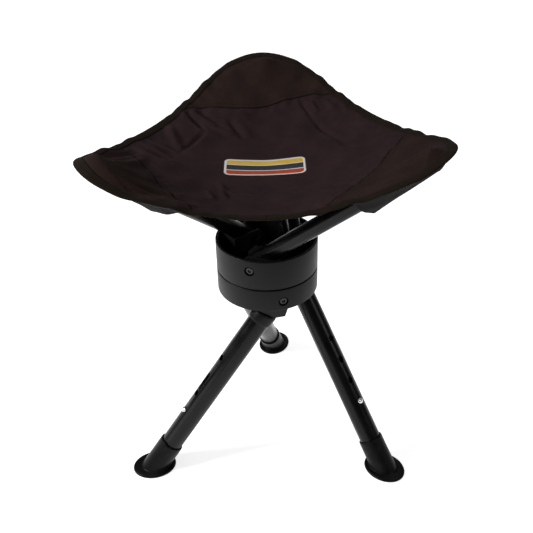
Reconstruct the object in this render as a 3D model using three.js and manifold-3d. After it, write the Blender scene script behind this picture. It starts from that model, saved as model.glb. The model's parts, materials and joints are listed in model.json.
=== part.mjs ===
// Three-leg folding stool with a swivel seat: telescoping legs and seat arms pivot on a two-part hub.
// Millimetres, +Z up. The floor is z = 0, and the origin is under the middle of the stool's box.
import * as THREE from "three";
import { mergeVertices } from "three/addons/utils/BufferGeometryUtils.js";
import Module from "manifold-3d";

const wasm = await Module();
wasm.setup();

// ---- driving dimensions ----
const HUB_AXIS_X = -0.6; // the hub's axis, from the middle of the stool's box
const HUB_AXIS_Y = -29.5;
const LIMBS = [0, 1, 2]; // three legs and three arms, a third of a turn apart
const FIRST_LEG_AZIMUTH = -166.25;
const FIRST_ARM_AZIMUTH = -140.1;
const GAP = 0.3; // left between pieces that touch
const EDGE = 0.8; // bevel on the hub's outer edges

const HUB_RADIUS = 58;
const HUB_WALL = 3.5;
const LOWER_HUB_BOTTOM = 218.5;
const LOWER_HUB_TOP = 245.9;
const UPPER_HUB_BOTTOM = 246.9;
const UPPER_HUB_TOP = 283;
const LOWER_PLATE = 3; // the lower hub's top plate
const UPPER_FLOOR = 4; // the upper hub's floor
const CHEEK = 3; // plates beside a tube's end
const CHEEK_CLEARANCE = 0.4; // from a tube to the cheek beside it

const TUBE_RADIUS = 9.525; // 3/4 inch tube: arms and inner legs
const TUBE_WALL = 1.2;
const OUTER_TUBE_RADIUS = 12.7; // 1 inch tube: outer legs
const OUTER_TUBE_WALL = 1.1;

const LEG_LEAN = THREE.MathUtils.degToRad(35.2); // from vertical
const LEG_PIVOT = new THREE.Vector3(-3.6, 38.5, 230); // outward, sideways, up
const LEG_LENGTH = 281.5; // pivot to floor along the tube
const LEG_END = -8; // places along a leg count from its pivot
const INNER_TUBE_END = 203;
const OUTER_TUBE_START = 29.1;
const OUTER_TUBE_END = 262;
const BUTTON_PLACE = 189;
const HOLE_PITCH = 28;
const HOLE_COUNT = 4;
const HOLE_RADIUS = 3.8;
const COLLAR_START = 27;
const COLLAR_END = 41;
const FOOT_START = 238.5;

const ARM_RISE = THREE.MathUtils.degToRad(38.8); // from horizontal
const ARM_PIVOT = new THREE.Vector3(0, -33.1, 269.8);
const ARM_END = -12;
const ARM_TUBE_LENGTH = 230;

const PIVOT_BOSS_RADIUS = 8.5;
const PIVOT_BOSS_END = 56.2; // within the hub's wall
const PIVOT_SCREW_SEAT = 54.3; // the counterbore's floor, from the hub's axis
const PAST_WALL = 62; // beyond the hub's outside
const SCREW_RADIUS = 3;
const SCREW_HEAD_RADIUS = 4.8;
const COUNTERBORE_RADIUS = 5.6;
const BOLT_RADIUS = 4;

const SEAT_CENTRE_HEIGHT = 366;
const SEAT_TIP_RADIUS = 202;
const SEAT_TIP_HEIGHT = 431;
const SEAT_SIDE_RADIUS = 143; // hub axis to the middle of a side
const SEAT_SIDE_HEIGHT = 387.5;
const SEAT_CORNER_RADIUS = 68;
const SEAT_THICKNESS = 2.4;

const THIRD_TURN = (2 * Math.PI) / 3;
const RIGHT_ANGLE = Math.PI / 2;

// ---- materials ----
const finish = (color, roughness, metalness) =>
  new THREE.MeshStandardMaterial({ color, roughness, metalness });
const HUB_PLASTIC = finish(0x282526, 0.45, 0);
const COLLAR_PLASTIC = finish(0x1d1c1d, 0.4, 0);
const BLACK_TUBE = finish(0x1b191a, 0.32, 0.4);
const BLACK_SCREW = finish(0x2b2b2c, 0.35, 0.8);
const BRIGHT_STEEL = finish(0xc4c6c8, 0.22, 1);
const RUBBER = finish(0x161516, 0.7, 0);
const SEAT_FABRIC = finish(0x2b2224, 0.85, 0);
const NYLON = finish(0xd8d6cf, 0.5, 0);

// ---- geometry helpers ----
function welded(geometry) {
  const bare = geometry.index ? geometry.clone() : mergeVertices(geometry.clone());
  bare.deleteAttribute("normal");
  bare.deleteAttribute("uv");
  return mergeVertices(bare, 1e-4);
}

function facingOut(geometry) {
  const place = geometry.attributes.position;
  const index = Array.from(geometry.index.array);
  const corner = (n) => new THREE.Vector3().fromBufferAttribute(place, n);
  const kept = [];
  let volume = 0;
  for (let i = 0; i < index.length; i += 3) {
    const [a, b, c] = [index[i], index[i + 1], index[i + 2]];
    if (a === b || b === c || c === a) continue;
    kept.push(a, b, c);
    volume += corner(a).dot(corner(b).cross(corner(c)));
  }
  if (volume < 0) kept.reverse();
  geometry.setIndex(kept);
  return geometry;
}

function solid(geometry) {
  const closed = facingOut(welded(geometry));
  const mesh = new wasm.Mesh({
    numProp: 3,
    vertProperties: new Float32Array(closed.attributes.position.array),
    triVerts: new Uint32Array(closed.index.array),
  });
  return new wasm.Manifold(mesh);
}

function surface(manifold) {
  const mesh = manifold.getMesh();
  const geometry = new THREE.BufferGeometry();
  geometry.setAttribute("position", new THREE.BufferAttribute(mesh.vertProperties.slice(), 3));
  geometry.setIndex(Array.from(mesh.triVerts));
  geometry.computeVertexNormals();
  return geometry;
}

const union = (...shapes) => shapes.map(solid).reduce((all, next) => all.add(next));
const without = (body, ...cuts) => cuts.map(solid).reduce((rest, cut) => rest.subtract(cut), body);

// a profile of [radius, height] points turned about the Z axis
function turned(profile, segments = 16) {
  const points = profile.map(([radius, height]) => new THREE.Vector2(radius, height));
  return new THREE.LatheGeometry(points, segments).rotateX(RIGHT_ANGLE);
}

function rod(radius, low, high, segments = 16) {
  return turned([[0, low], [radius, low], [radius, high], [0, high]], segments);
}

function ring(inner, outer, low, high, segments = 20) {
  return turned([[inner, low], [outer, low], [outer, high], [inner, high], [inner, low]], segments);
}

// a rod along +Y, centred on (x, z)
function crossRod(radius, from, to, x = 0, z = 0, segments = 12) {
  return rod(radius, from, to, segments).rotateX(-RIGHT_ANGLE).translate(x, 0, z);
}

// an outline of [x, z] points, made solid from y = from to y = to
function plate(outline, from, to) {
  const shape = new THREE.Shape(outline.map(([x, z]) => new THREE.Vector2(x, z)));
  return new THREE.ExtrudeGeometry(shape, { depth: to - from, bevelEnabled: false })
    .rotateX(RIGHT_ANGLE)
    .translate(0, to, 0);
}

function hexagon(acrossFlats, low, high) {
  return rod(acrossFlats / Math.sqrt(3), low, high, 6);
}

// ---- placing ----
const hubAxis = new THREE.Group();
hubAxis.position.set(HUB_AXIS_X, HUB_AXIS_Y, 0);

function place(parent, name, geometry, material) {
  const mesh = new THREE.Mesh(geometry.isBufferGeometry ? geometry : surface(geometry), material);
  mesh.name = name;
  parent.add(mesh);
  return mesh;
}

// a frame turned about the hub: +X outward along limb number n, +Y to its left
function limbFrame(firstAzimuth, n) {
  const frame = new THREE.Group();
  frame.rotation.z = THREE.MathUtils.degToRad(firstAzimuth) + n * THIRD_TURN;
  hubAxis.add(frame);
  return frame;
}

// a frame at a tube's pivot whose +Z runs out along the tube
function tubeFrame(parent, pivot, tilt) {
  const frame = new THREE.Group();
  frame.position.copy(pivot);
  frame.rotation.y = tilt;
  parent.add(frame);
  return frame;
}

// the same shape once for each limb, turned about the hub's axis
function aroundHub(firstAzimuth, shapes) {
  return LIMBS.flatMap((n) => {
    const turn = THREE.MathUtils.degToRad(firstAzimuth) + n * THIRD_TURN;
    return shapes.map((shape) => shape.clone().rotateZ(turn));
  });
}

// ---- lower hub: a ring open below, with a pocket and a lug for each leg ----
const legAlong = (s, w) => [
  LEG_PIVOT.x + s * Math.sin(LEG_LEAN) + w * Math.cos(LEG_LEAN),
  LEG_PIVOT.z - s * Math.cos(LEG_LEAN) + w * Math.sin(LEG_LEAN),
];

const POCKET_HALF = TUBE_RADIUS + CHEEK_CLEARANCE;
const LUG_END = COLLAR_START - 1.5; // its corner stays inside the collar's swing
const LUG_HALF = 13;
const PLATE_BOTTOM = LOWER_HUB_TOP - LOWER_PLATE;
const LUG_BOTTOM = LEG_PIVOT.z - LUG_END; // clears the collar when the leg hangs straight down

function legCheekOutline() {
  const [lipX, lipZ] = legAlong(LUG_END, LUG_HALF);
  const [, cutZ] = legAlong(LUG_END, 0);
  const lowX = legAlong(LUG_END, 0)[0] - (cutZ - LUG_BOTTOM) / Math.tan(LEG_LEAN);
  return [
    [-18, PLATE_BOTTOM + 1],
    [-18, LOWER_HUB_BOTTOM + 2],
    [-11, LOWER_HUB_BOTTOM - 2],
    [-7, LUG_BOTTOM],
    [lowX, LUG_BOTTOM],
    [lipX, lipZ],
    [lipX, PLATE_BOTTOM + 1],
  ];
}

function legStopOutline() {
  return [
    legAlong(LUG_END, TUBE_RADIUS + CHEEK_CLEARANCE),
    legAlong(LUG_END, LUG_HALF),
    [legAlong(LUG_END, LUG_HALF)[0], PLATE_BOTTOM + 1],
    [legAlong(4, TUBE_RADIUS + CHEEK_CLEARANCE)[0] + 1.5, PLATE_BOTTOM + 1],
    legAlong(4, TUBE_RADIUS + CHEEK_CLEARANCE),
  ];
}

function legMountSolids() {
  const y = LEG_PIVOT.y;
  const outer = y + POCKET_HALF;
  const inner = y - POCKET_HALF;
  return [
    plate(legCheekOutline(), outer, outer + CHEEK),
    plate(legCheekOutline(), inner - CHEEK, inner),
    plate(legStopOutline(), inner - 1, outer + 1),
    crossRod(PIVOT_BOSS_RADIUS, outer, PIVOT_BOSS_END, LEG_PIVOT.x, LEG_PIVOT.z, 16),
  ];
}

function legScrewHoles() {
  return [
    crossRod(SCREW_RADIUS + GAP, 10, PAST_WALL, LEG_PIVOT.x, LEG_PIVOT.z),
    crossRod(COUNTERBORE_RADIUS, PIVOT_SCREW_SEAT, PAST_WALL, LEG_PIVOT.x, LEG_PIVOT.z),
  ];
}

const WASHER_RADIUS = 30;
const WASHER_RECESS = 1;

const LOWER_BOSS_RADIUS = 12;
const LOWER_BOSS_BOTTOM = 227;

function lowerHub() {
  const shell = turned([
    [HUB_RADIUS - HUB_WALL, LOWER_HUB_BOTTOM],
    [HUB_RADIUS - EDGE, LOWER_HUB_BOTTOM],
    [HUB_RADIUS, LOWER_HUB_BOTTOM + EDGE],
    [HUB_RADIUS, LOWER_HUB_TOP - EDGE],
    [HUB_RADIUS - EDGE, LOWER_HUB_TOP],
    [0, LOWER_HUB_TOP],
    [0, PLATE_BOTTOM],
    [HUB_RADIUS - HUB_WALL, PLATE_BOTTOM],
    [HUB_RADIUS - HUB_WALL, LOWER_HUB_BOTTOM],
  ], 44);
  const boss = rod(LOWER_BOSS_RADIUS, LOWER_BOSS_BOTTOM, PLATE_BOTTOM + 1);
  const body = union(shell, boss, ...aroundHub(FIRST_LEG_AZIMUTH, legMountSolids()));
  return without(
    body,
    rod(BOLT_RADIUS + GAP, 200, 260, 16),
    rod(WASHER_RADIUS + GAP, LOWER_HUB_TOP - WASHER_RECESS, 250, 24),
    ...aroundHub(FIRST_LEG_AZIMUTH, legScrewHoles()),
  );
}

// ---- upper hub: a cup that turns on the lower hub, with a slot for each arm ----
const armAlong = (s, w) => [
  ARM_PIVOT.x + s * Math.cos(ARM_RISE) - w * Math.sin(ARM_RISE),
  ARM_PIVOT.z + s * Math.sin(ARM_RISE) + w * Math.cos(ARM_RISE),
];

const FLOOR_TOP = UPPER_HUB_BOTTOM + UPPER_FLOOR;
const REST_START = 12; // the sloped rib that an open arm rests on
const REST_END = 30;
const CHEEK_TOP = UPPER_HUB_TOP - 2.5;

function restHeight(x) {
  return ARM_PIVOT.z + x * Math.tan(ARM_RISE) - (TUBE_RADIUS + CHEEK_CLEARANCE) / Math.cos(ARM_RISE);
}

function armMountSolids() {
  const y = ARM_PIVOT.y;
  const outer = y - POCKET_HALF;
  const inner = y + POCKET_HALF;
  const cheek = [
    [-14, FLOOR_TOP - 1], [REST_END, FLOOR_TOP - 1], [REST_END, CHEEK_TOP],
    [-6, CHEEK_TOP], [-14, CHEEK_TOP - 8],
  ];
  const rib = [
    [REST_START, FLOOR_TOP - 1], [REST_END, FLOOR_TOP - 1],
    [REST_END, restHeight(REST_END)], [REST_START, restHeight(REST_START)],
  ];
  return [
    plate(cheek, outer - CHEEK, outer),
    plate(cheek, inner, inner + CHEEK),
    plate(rib, outer - 1, inner + 1),
    crossRod(PIVOT_BOSS_RADIUS, -PIVOT_BOSS_END, outer, ARM_PIVOT.x, ARM_PIVOT.z, 16),
  ];
}

function armScrewHoles() {
  return [
    crossRod(SCREW_RADIUS + GAP, -PAST_WALL, -10, ARM_PIVOT.x, ARM_PIVOT.z),
    crossRod(COUNTERBORE_RADIUS, -PAST_WALL, -PIVOT_SCREW_SEAT, ARM_PIVOT.x, ARM_PIVOT.z),
  ];
}

const UPPER_BOSS_RADIUS = 17;
const UPPER_BOSS_TOP = 263;
const NUT_SEAT = 249.5;
const NUT_WELL_RADIUS = 12.5;

function upperHub() {
  const inside = HUB_RADIUS - HUB_WALL;
  const cup = turned([
    [0, UPPER_HUB_BOTTOM],
    [HUB_RADIUS - EDGE, UPPER_HUB_BOTTOM],
    [HUB_RADIUS, UPPER_HUB_BOTTOM + EDGE],
    [HUB_RADIUS, UPPER_HUB_TOP - EDGE],
    [HUB_RADIUS - EDGE, UPPER_HUB_TOP],
    [inside + EDGE, UPPER_HUB_TOP],
    [inside, UPPER_HUB_TOP - EDGE],
    [inside, FLOOR_TOP],
    [0, FLOOR_TOP],
  ], 44);
  const boss = rod(UPPER_BOSS_RADIUS, FLOOR_TOP - 1, UPPER_BOSS_TOP, 20);
  const body = union(cup, boss, ...aroundHub(FIRST_ARM_AZIMUTH, armMountSolids()));
  return without(
    body,
    rod(BOLT_RADIUS + GAP, 240, 270, 16),
    rod(NUT_WELL_RADIUS, NUT_SEAT, 270, 16),
    ...aroundHub(FIRST_ARM_AZIMUTH, armScrewHoles()),
  );
}

// ---- swivel hardware ----
function swivelWasher() {
  return ring(BOLT_RADIUS + GAP, WASHER_RADIUS, 245.2, UPPER_HUB_BOTTOM - GAP, 24);
}

function centreBolt() {
  const head = hexagon(13, 221.2, 226.7);
  return union(head, rod(BOLT_RADIUS, 226, 260.5, 16));
}

function centreNut() {
  const flange = rod(9.5, NUT_SEAT + GAP, 251.6);
  return without(union(flange, hexagon(13, 251, 258.5)), rod(BOLT_RADIUS + GAP, 240, 270, 16));
}

// ---- pivot screws and nuts, made along +Y from the head's seat towards the hub's axis ----
const NUT_START = 34.5; // head seat to nut
const SCREW_TAIL = 39.5;

function pivotScrew() {
  const head = turned([
    [0, -2.6], [SCREW_HEAD_RADIUS - 1.4, -2.6], [SCREW_HEAD_RADIUS, -1.4],
    [SCREW_HEAD_RADIUS, -GAP], [SCREW_RADIUS, -GAP], [SCREW_RADIUS, SCREW_TAIL], [0, SCREW_TAIL],
  ], 12);
  return without(solid(head), hexagon(4, -4, -1));
}

function pivotNut() {
  return without(solid(hexagon(10, NUT_START, NUT_START + 4.5)), rod(SCREW_RADIUS + GAP, 20, 60, 12));
}

// ---- tubes ----
function legInnerTube() {
  const tube = ring(TUBE_RADIUS - TUBE_WALL, TUBE_RADIUS, LEG_END, INNER_TUBE_END, 16);
  const buttonHole = rod(HOLE_RADIUS, -20, 0, 10).rotateY(RIGHT_ANGLE).translate(0, 0, BUTTON_PLACE);
  return without(solid(tube), crossRod(SCREW_RADIUS + GAP, -20, 20), buttonHole);
}

function legOuterTube() {
  const tube = ring(OUTER_TUBE_RADIUS - OUTER_TUBE_WALL, OUTER_TUBE_RADIUS,
    OUTER_TUBE_START, OUTER_TUBE_END, 20);
  const holes = [];
  for (let n = 0; n < HOLE_COUNT; n++) {
    const place = BUTTON_PLACE - n * HOLE_PITCH;
    holes.push(rod(HOLE_RADIUS, -20, 0, 10).rotateY(RIGHT_ANGLE).translate(0, 0, place));
  }
  return without(solid(tube), ...holes);
}

function armTube() {
  const tube = ring(TUBE_RADIUS - TUBE_WALL, TUBE_RADIUS, ARM_END, ARM_TUBE_LENGTH, 16);
  return without(solid(tube), crossRod(SCREW_RADIUS + GAP, -20, 20));
}

function pivotPlug(low, high) {
  const plug = rod(TUBE_RADIUS - TUBE_WALL - GAP, low, high);
  return without(solid(plug), crossRod(SCREW_RADIUS + GAP, -20, 20));
}

function armEndCap() {
  const inside = TUBE_RADIUS - TUBE_WALL - GAP;
  const start = ARM_TUBE_LENGTH + GAP;
  return turned([
    [0, start - 14], [inside, start - 14], [inside, start], [TUBE_RADIUS, start],
    [TUBE_RADIUS, start + 1.5], [TUBE_RADIUS - 1.2, start + 3.4], [TUBE_RADIUS - 4, start + 4.6],
    [0, start + 5],
  ]);
}

// ---- leg pieces ----
function legCollar() {
  const slot = OUTER_TUBE_RADIUS + GAP;
  const insert = OUTER_TUBE_RADIUS - OUTER_TUBE_WALL - GAP;
  const inner = TUBE_RADIUS + CHEEK_CLEARANCE;
  const slotTop = OUTER_TUBE_START - GAP;
  return turned([
    [inner, COLLAR_START], [12.8, COLLAR_START], [14, COLLAR_START + 0.6], [14.6, COLLAR_START + 2],
    [14.6, COLLAR_END - 1], [14, COLLAR_END], [slot, COLLAR_END], [slot, slotTop],
    [insert, slotTop], [insert, COLLAR_END + 6], [inner, COLLAR_END + 6], [inner, COLLAR_START],
  ], 20);
}

function guideBush() {
  const outer = OUTER_TUBE_RADIUS - OUTER_TUBE_WALL - GAP;
  const start = INNER_TUBE_END - 9;
  const end = INNER_TUBE_END + GAP;
  return turned([
    [TUBE_RADIUS + GAP, start], [outer, start], [outer, end + 2], [6, end + 2], [6, end],
    [TUBE_RADIUS + GAP, end], [TUBE_RADIUS + GAP, start],
  ], 16);
}

const BUTTON_TOP = 15.2; // from the tube's axis
const BUTTON_FLANGE = 5;

function snapButton() {
  return turned([
    [0, BUTTON_FLANGE], [4.6, BUTTON_FLANGE], [4.6, 6.2], [3.4, 6.2], [3.4, BUTTON_TOP - 1.5],
    [2.6, BUTTON_TOP - 0.5], [1.2, BUTTON_TOP], [0, BUTTON_TOP],
  ], 10).rotateY(-RIGHT_ANGLE).translate(0, 0, BUTTON_PLACE);
}

// a bent leaf that lies on the far wall and pushes the button out
function buttonSpring() {
  const thick = 0.6;
  const top = -BUTTON_FLANGE + GAP;
  const bottom = 6.2;
  const outline = [
    [top, BUTTON_PLACE + 4], [top, BUTTON_PLACE - 5], [bottom - 1.6, 146], [bottom, 146],
    [bottom, 178], [bottom - thick, 178], [bottom - thick, 148], [bottom - 1.1, 148],
    [top + thick, BUTTON_PLACE - 5], [top + thick, BUTTON_PLACE + 4],
  ];
  return plate(outline, -3, 3);
}

const SOLE_HALF_WIDTH = 21.5;
const SOLE_HALF_LENGTH = SOLE_HALF_WIDTH / Math.cos(LEG_LEAN);
const SOLE_HEIGHT = 4;

// the sleeve follows the leg, and the sole lies flat on the floor; both in the leg's limb frame
function foot() {
  const [footX] = legAlong(LEG_LENGTH, 0);
  const sleeve = turned([
    [0, FOOT_START], [13.9, FOOT_START], [14.6, FOOT_START + 0.8], [14.8, LEG_LENGTH - 12],
    [15.4, LEG_LENGTH + 14], [0, LEG_LENGTH + 14],
  ], 20).rotateY(Math.PI - LEG_LEAN).translate(LEG_PIVOT.x, 0, LEG_PIVOT.z);
  const socket = rod(OUTER_TUBE_RADIUS + GAP, FOOT_START - 5, OUTER_TUBE_END + GAP, 20)
    .rotateY(Math.PI - LEG_LEAN).translate(LEG_PIVOT.x, 0, LEG_PIVOT.z);
  const sole = turned([
    [0, 0], [SOLE_HALF_WIDTH - 0.6, 0], [SOLE_HALF_WIDTH, 0.8], [SOLE_HALF_WIDTH, SOLE_HEIGHT - 1.4],
    [SOLE_HALF_WIDTH - 1.2, SOLE_HEIGHT - 0.3], [SOLE_HALF_WIDTH - 4, SOLE_HEIGHT], [0, SOLE_HEIGHT],
  ], 24).scale(SOLE_HALF_LENGTH / SOLE_HALF_WIDTH, 1, 1).translate(footX, 0, 0);
  const underground = new THREE.BoxGeometry(200, 100, 100).translate(footX, 0, -50);
  return without(solid(sleeve), underground).add(solid(sole)).subtract(solid(socket));
}

// ---- seat: a sling in six panels, two to each arm, and a pocket under each corner ----
// distance from the hub's axis to the hem, at an angle from the corner's own direction
function hemRadius(angle) {
  const tip = SEAT_TIP_RADIUS - SEAT_CORNER_RADIUS; // the corner arc's centre
  const rise = SEAT_SIDE_RADIUS - SEAT_CORNER_RADIUS;
  const back = (tip * tip - rise * rise) / (2 * rise - tip); // side arc's centre, past the axis
  const sideRadius = SEAT_SIDE_RADIUS + back;
  const centre = [-back * Math.cos(Math.PI / 3), -back * Math.sin(Math.PI / 3)];
  const join = Math.atan2(-centre[1], tip - centre[0]); // where the two arcs meet
  const joinAngle = Math.atan2(
    SEAT_CORNER_RADIUS * Math.sin(join), tip + SEAT_CORNER_RADIUS * Math.cos(join),
  );
  const reach = (x, y, radius) => {
    const along = x * Math.cos(angle) + y * Math.sin(angle);
    return along + Math.sqrt(along * along - x * x - y * y + radius * radius);
  };
  return angle < joinAngle ? reach(tip, 0, SEAT_CORNER_RADIUS) : reach(...centre, sideRadius);
}

// height at a share of the way from the hub's axis to the hem: over an arm the cloth
// lies along it and levels off at its end, and towards a side it hangs in a bowl
function seatHeight(share, angle) {
  const side = (1 - Math.cos(3 * angle)) / 2;
  const hem = SEAT_TIP_HEIGHT + (SEAT_SIDE_HEIGHT - SEAT_TIP_HEIGHT) * side ** 0.55;
  const overArm = (1 - Math.cos(Math.PI * share ** 1.7)) / 2;
  const bowl = share ** 1.6;
  return SEAT_CENTRE_HEIGHT + (hem - SEAT_CENTRE_HEIGHT) * ((1 - side) * overArm + side * bowl);
}

// a closed sheet through rows of [x, y, z] points, half its thickness to either side
function sheet(rows, thickness) {
  const width = rows[0].length;
  const corners = [-0.5, 0.5].flatMap((layer) =>
    rows.flatMap((row) => row.flatMap(([x, y, z]) => [x, y, z + layer * thickness])));
  const at = (layer, i, j) => (layer * rows.length + i) * width + j;
  const faces = [];
  const quad = (a, b, c, d) => faces.push(a, b, c, a, c, d);
  const endRow = rows.length - 1;
  const endColumn = width - 1;
  for (let i = 0; i < endRow; i++) {
    for (let j = 0; j < endColumn; j++) {
      quad(at(1, i, j), at(1, i + 1, j), at(1, i + 1, j + 1), at(1, i, j + 1));
      quad(at(0, i, j), at(0, i, j + 1), at(0, i + 1, j + 1), at(0, i + 1, j));
    }
    quad(at(0, i, 0), at(0, i + 1, 0), at(1, i + 1, 0), at(1, i, 0));
    quad(at(0, i + 1, endColumn), at(0, i, endColumn), at(1, i, endColumn), at(1, i + 1, endColumn));
  }
  for (let j = 0; j < endColumn; j++) {
    quad(at(0, 0, j + 1), at(0, 0, j), at(1, 0, j), at(1, 0, j + 1));
    quad(at(0, endRow, j), at(0, endRow, j + 1), at(1, endRow, j + 1), at(1, endRow, j));
  }
  const geometry = new THREE.BufferGeometry();
  geometry.setAttribute("position", new THREE.BufferAttribute(new Float32Array(corners), 3));
  geometry.setIndex(faces);
  const closed = facingOut(geometry);
  closed.computeVertexNormals();
  return closed;
}

const steps = (count) => Array.from({ length: count + 1 }, (_, i) => i / count);

// one half of a corner: from the hub's axis to the hem, between the corner and the next side's middle
function seatPanel(side) {
  const start = 0.02;
  const shift = 0.35; // keeps this panel clear of the next
  const rows = steps(9).map((i) => steps(6).map((j) => {
    const share = start + (1 - start) * i;
    const angle = (Math.PI / 3) * j;
    const reach = hemRadius(angle) * share;
    return [
      reach * Math.cos(angle) + shift * Math.cos(Math.PI / 6),
      side * (reach * Math.sin(angle) + shift * Math.sin(Math.PI / 6)),
      seatHeight(share, angle),
    ];
  }));
  return sheet(rows, SEAT_THICKNESS);
}

const CORNER_TIP_X = Math.sqrt(SEAT_TIP_RADIUS ** 2 - ARM_PIVOT.y ** 2);
const CORNER_TURN = Math.atan2(ARM_PIVOT.y, CORNER_TIP_X); // from the arm's azimuth
const POCKET_START = 125; // out from the hub's axis, along the corner's direction
const POCKET_ARM_END = 193;
const POCKET_END = 198;
const POCKET_PLACES = [POCKET_START, 140, 155, 170, 182, POCKET_ARM_END, POCKET_END];
const POCKET_HEM_INSET = 3;
const POCKET_THICKNESS = 1.4;
const POCKET_SLACK = 2.6; // between the pocket's middle and the arm, and under the seat panel

// where the arm's axis is, at a distance out along the corner: [sideways, height]
function armUnder(x) {
  const outAlongArm = (x - ARM_PIVOT.y * Math.sin(CORNER_TURN)) / Math.cos(CORNER_TURN);
  const sideways = ARM_PIVOT.y * Math.cos(CORNER_TURN) - outAlongArm * Math.sin(CORNER_TURN);
  return [sideways, ARM_PIVOT.z + outAlongArm * Math.tan(ARM_RISE)];
}

// how far either side of the corner's middle the hem is, at a distance out along the corner
function hemHalfWidth(x) {
  let [low, high] = [0, Math.PI / 3];
  while (high - low > 1e-6) {
    const middle = (low + high) / 2;
    if (hemRadius(middle) * Math.cos(middle) > x) low = middle;
    else high = middle;
  }
  return hemRadius(low) * Math.sin(low);
}

// the pocket's cloth: down from one hem, round under the arm and up to the other hem
function seatPocket() {
  // shares of the tube's radius sideways, and of the drop from its axis, around its underside
  const wrap = [[-1.25, 0.3], [-0.85, 0.8], [0, 1], [0.85, 0.8], [1.25, 0.3]];
  const rows = POCKET_PLACES.map((x) => {
    const past = Math.max(0, (x - POCKET_ARM_END) / (POCKET_END - POCKET_ARM_END));
    const [armY, armZ] = armUnder(Math.min(x, POCKET_ARM_END));
    const width = hemHalfWidth(x) - POCKET_HEM_INSET;
    const angle = Math.atan2(width, x);
    const hemZ = seatHeight(Math.hypot(x, width) / hemRadius(angle), angle) - POCKET_SLACK;
    const drop = TUBE_RADIUS / Math.cos(ARM_RISE) + POCKET_SLACK;
    const under = wrap.map(([out, down]) => [
      x,
      armY + out * TUBE_RADIUS,
      (1 - past) * (armZ - down * drop) + past * hemZ,
    ]);
    const half = (edge, [, y, z]) => [x, (edge + y) / 2, (hemZ + z) / 2];
    return [
      [x, -width, hemZ], half(-width, under[0]), ...under, half(width, under[4]), [x, width, hemZ],
    ];
  });
  return sheet(rows, POCKET_THICKNESS);
}

// ---- assembly ----
place(hubAxis, "lower_hub", lowerHub(), HUB_PLASTIC);
place(hubAxis, "upper_hub", upperHub(), HUB_PLASTIC);
place(hubAxis, "swivel_washer", swivelWasher(), NYLON);
place(hubAxis, "centre_bolt", centreBolt(), BLACK_SCREW);
place(hubAxis, "centre_nut", centreNut(), BLACK_SCREW);

for (const n of LIMBS) {
  const name = n + 1;
  const leg = limbFrame(FIRST_LEG_AZIMUTH, n);
  const screwSeat = tubeFrame(leg, new THREE.Vector3(LEG_PIVOT.x, PIVOT_SCREW_SEAT, LEG_PIVOT.z), 0);
  screwSeat.rotation.x = RIGHT_ANGLE;
  place(screwSeat, `leg_pivot_screw_${name}`, pivotScrew(), BLACK_SCREW);
  place(screwSeat, `leg_pivot_nut_${name}`, pivotNut(), BLACK_SCREW);

  const legTube = tubeFrame(leg, LEG_PIVOT, Math.PI - LEG_LEAN);
  place(legTube, `leg_inner_tube_${name}`, legInnerTube(), BLACK_TUBE);
  place(legTube, `leg_pivot_plug_${name}`, pivotPlug(LEG_END + 0.5, 9), COLLAR_PLASTIC);
  place(legTube, `guide_bush_${name}`, guideBush(), COLLAR_PLASTIC);
  place(legTube, `button_spring_${name}`, buttonSpring(), BRIGHT_STEEL);
  place(legTube, `snap_button_${name}`, snapButton(), BRIGHT_STEEL);
  place(legTube, `leg_outer_tube_${name}`, legOuterTube(), BLACK_TUBE);
  place(legTube, `leg_collar_${name}`, legCollar(), COLLAR_PLASTIC);
  place(leg, `foot_${name}`, foot(), RUBBER).position.y = LEG_PIVOT.y;

  const arm = limbFrame(FIRST_ARM_AZIMUTH, n);
  const armSeat = tubeFrame(arm, new THREE.Vector3(ARM_PIVOT.x, -PIVOT_SCREW_SEAT, ARM_PIVOT.z), 0);
  armSeat.rotation.x = -RIGHT_ANGLE;
  place(armSeat, `arm_pivot_screw_${name}`, pivotScrew(), BLACK_SCREW);
  place(armSeat, `arm_pivot_nut_${name}`, pivotNut(), BLACK_SCREW);

  const armTubeFrame = tubeFrame(arm, ARM_PIVOT, RIGHT_ANGLE - ARM_RISE);
  place(armTubeFrame, `arm_tube_${name}`, armTube(), BLACK_TUBE);
  place(armTubeFrame, `arm_pivot_plug_${name}`, pivotPlug(ARM_END + 0.5, 9), COLLAR_PLASTIC);
  place(armTubeFrame, `arm_end_cap_${name}`, armEndCap(), COLLAR_PLASTIC);

  const corner = new THREE.Group(); // +X towards the seat's corner
  corner.rotation.z = CORNER_TURN;
  arm.add(corner);
  place(corner, `seat_pocket_${name}`, seatPocket(), SEAT_FABRIC);
  place(corner, `seat_panel_left_${name}`, seatPanel(1), SEAT_FABRIC);
  place(corner, `seat_panel_right_${name}`, seatPanel(-1), SEAT_FABRIC);
}

const stool = new THREE.Group();
stool.add(hubAxis);
export default stool;
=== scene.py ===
"""The looks of a folding three-leg stool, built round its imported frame."""
import json
import math

import bmesh
import bpy
import numpy as np
from mathutils import Matrix, Vector


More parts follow.
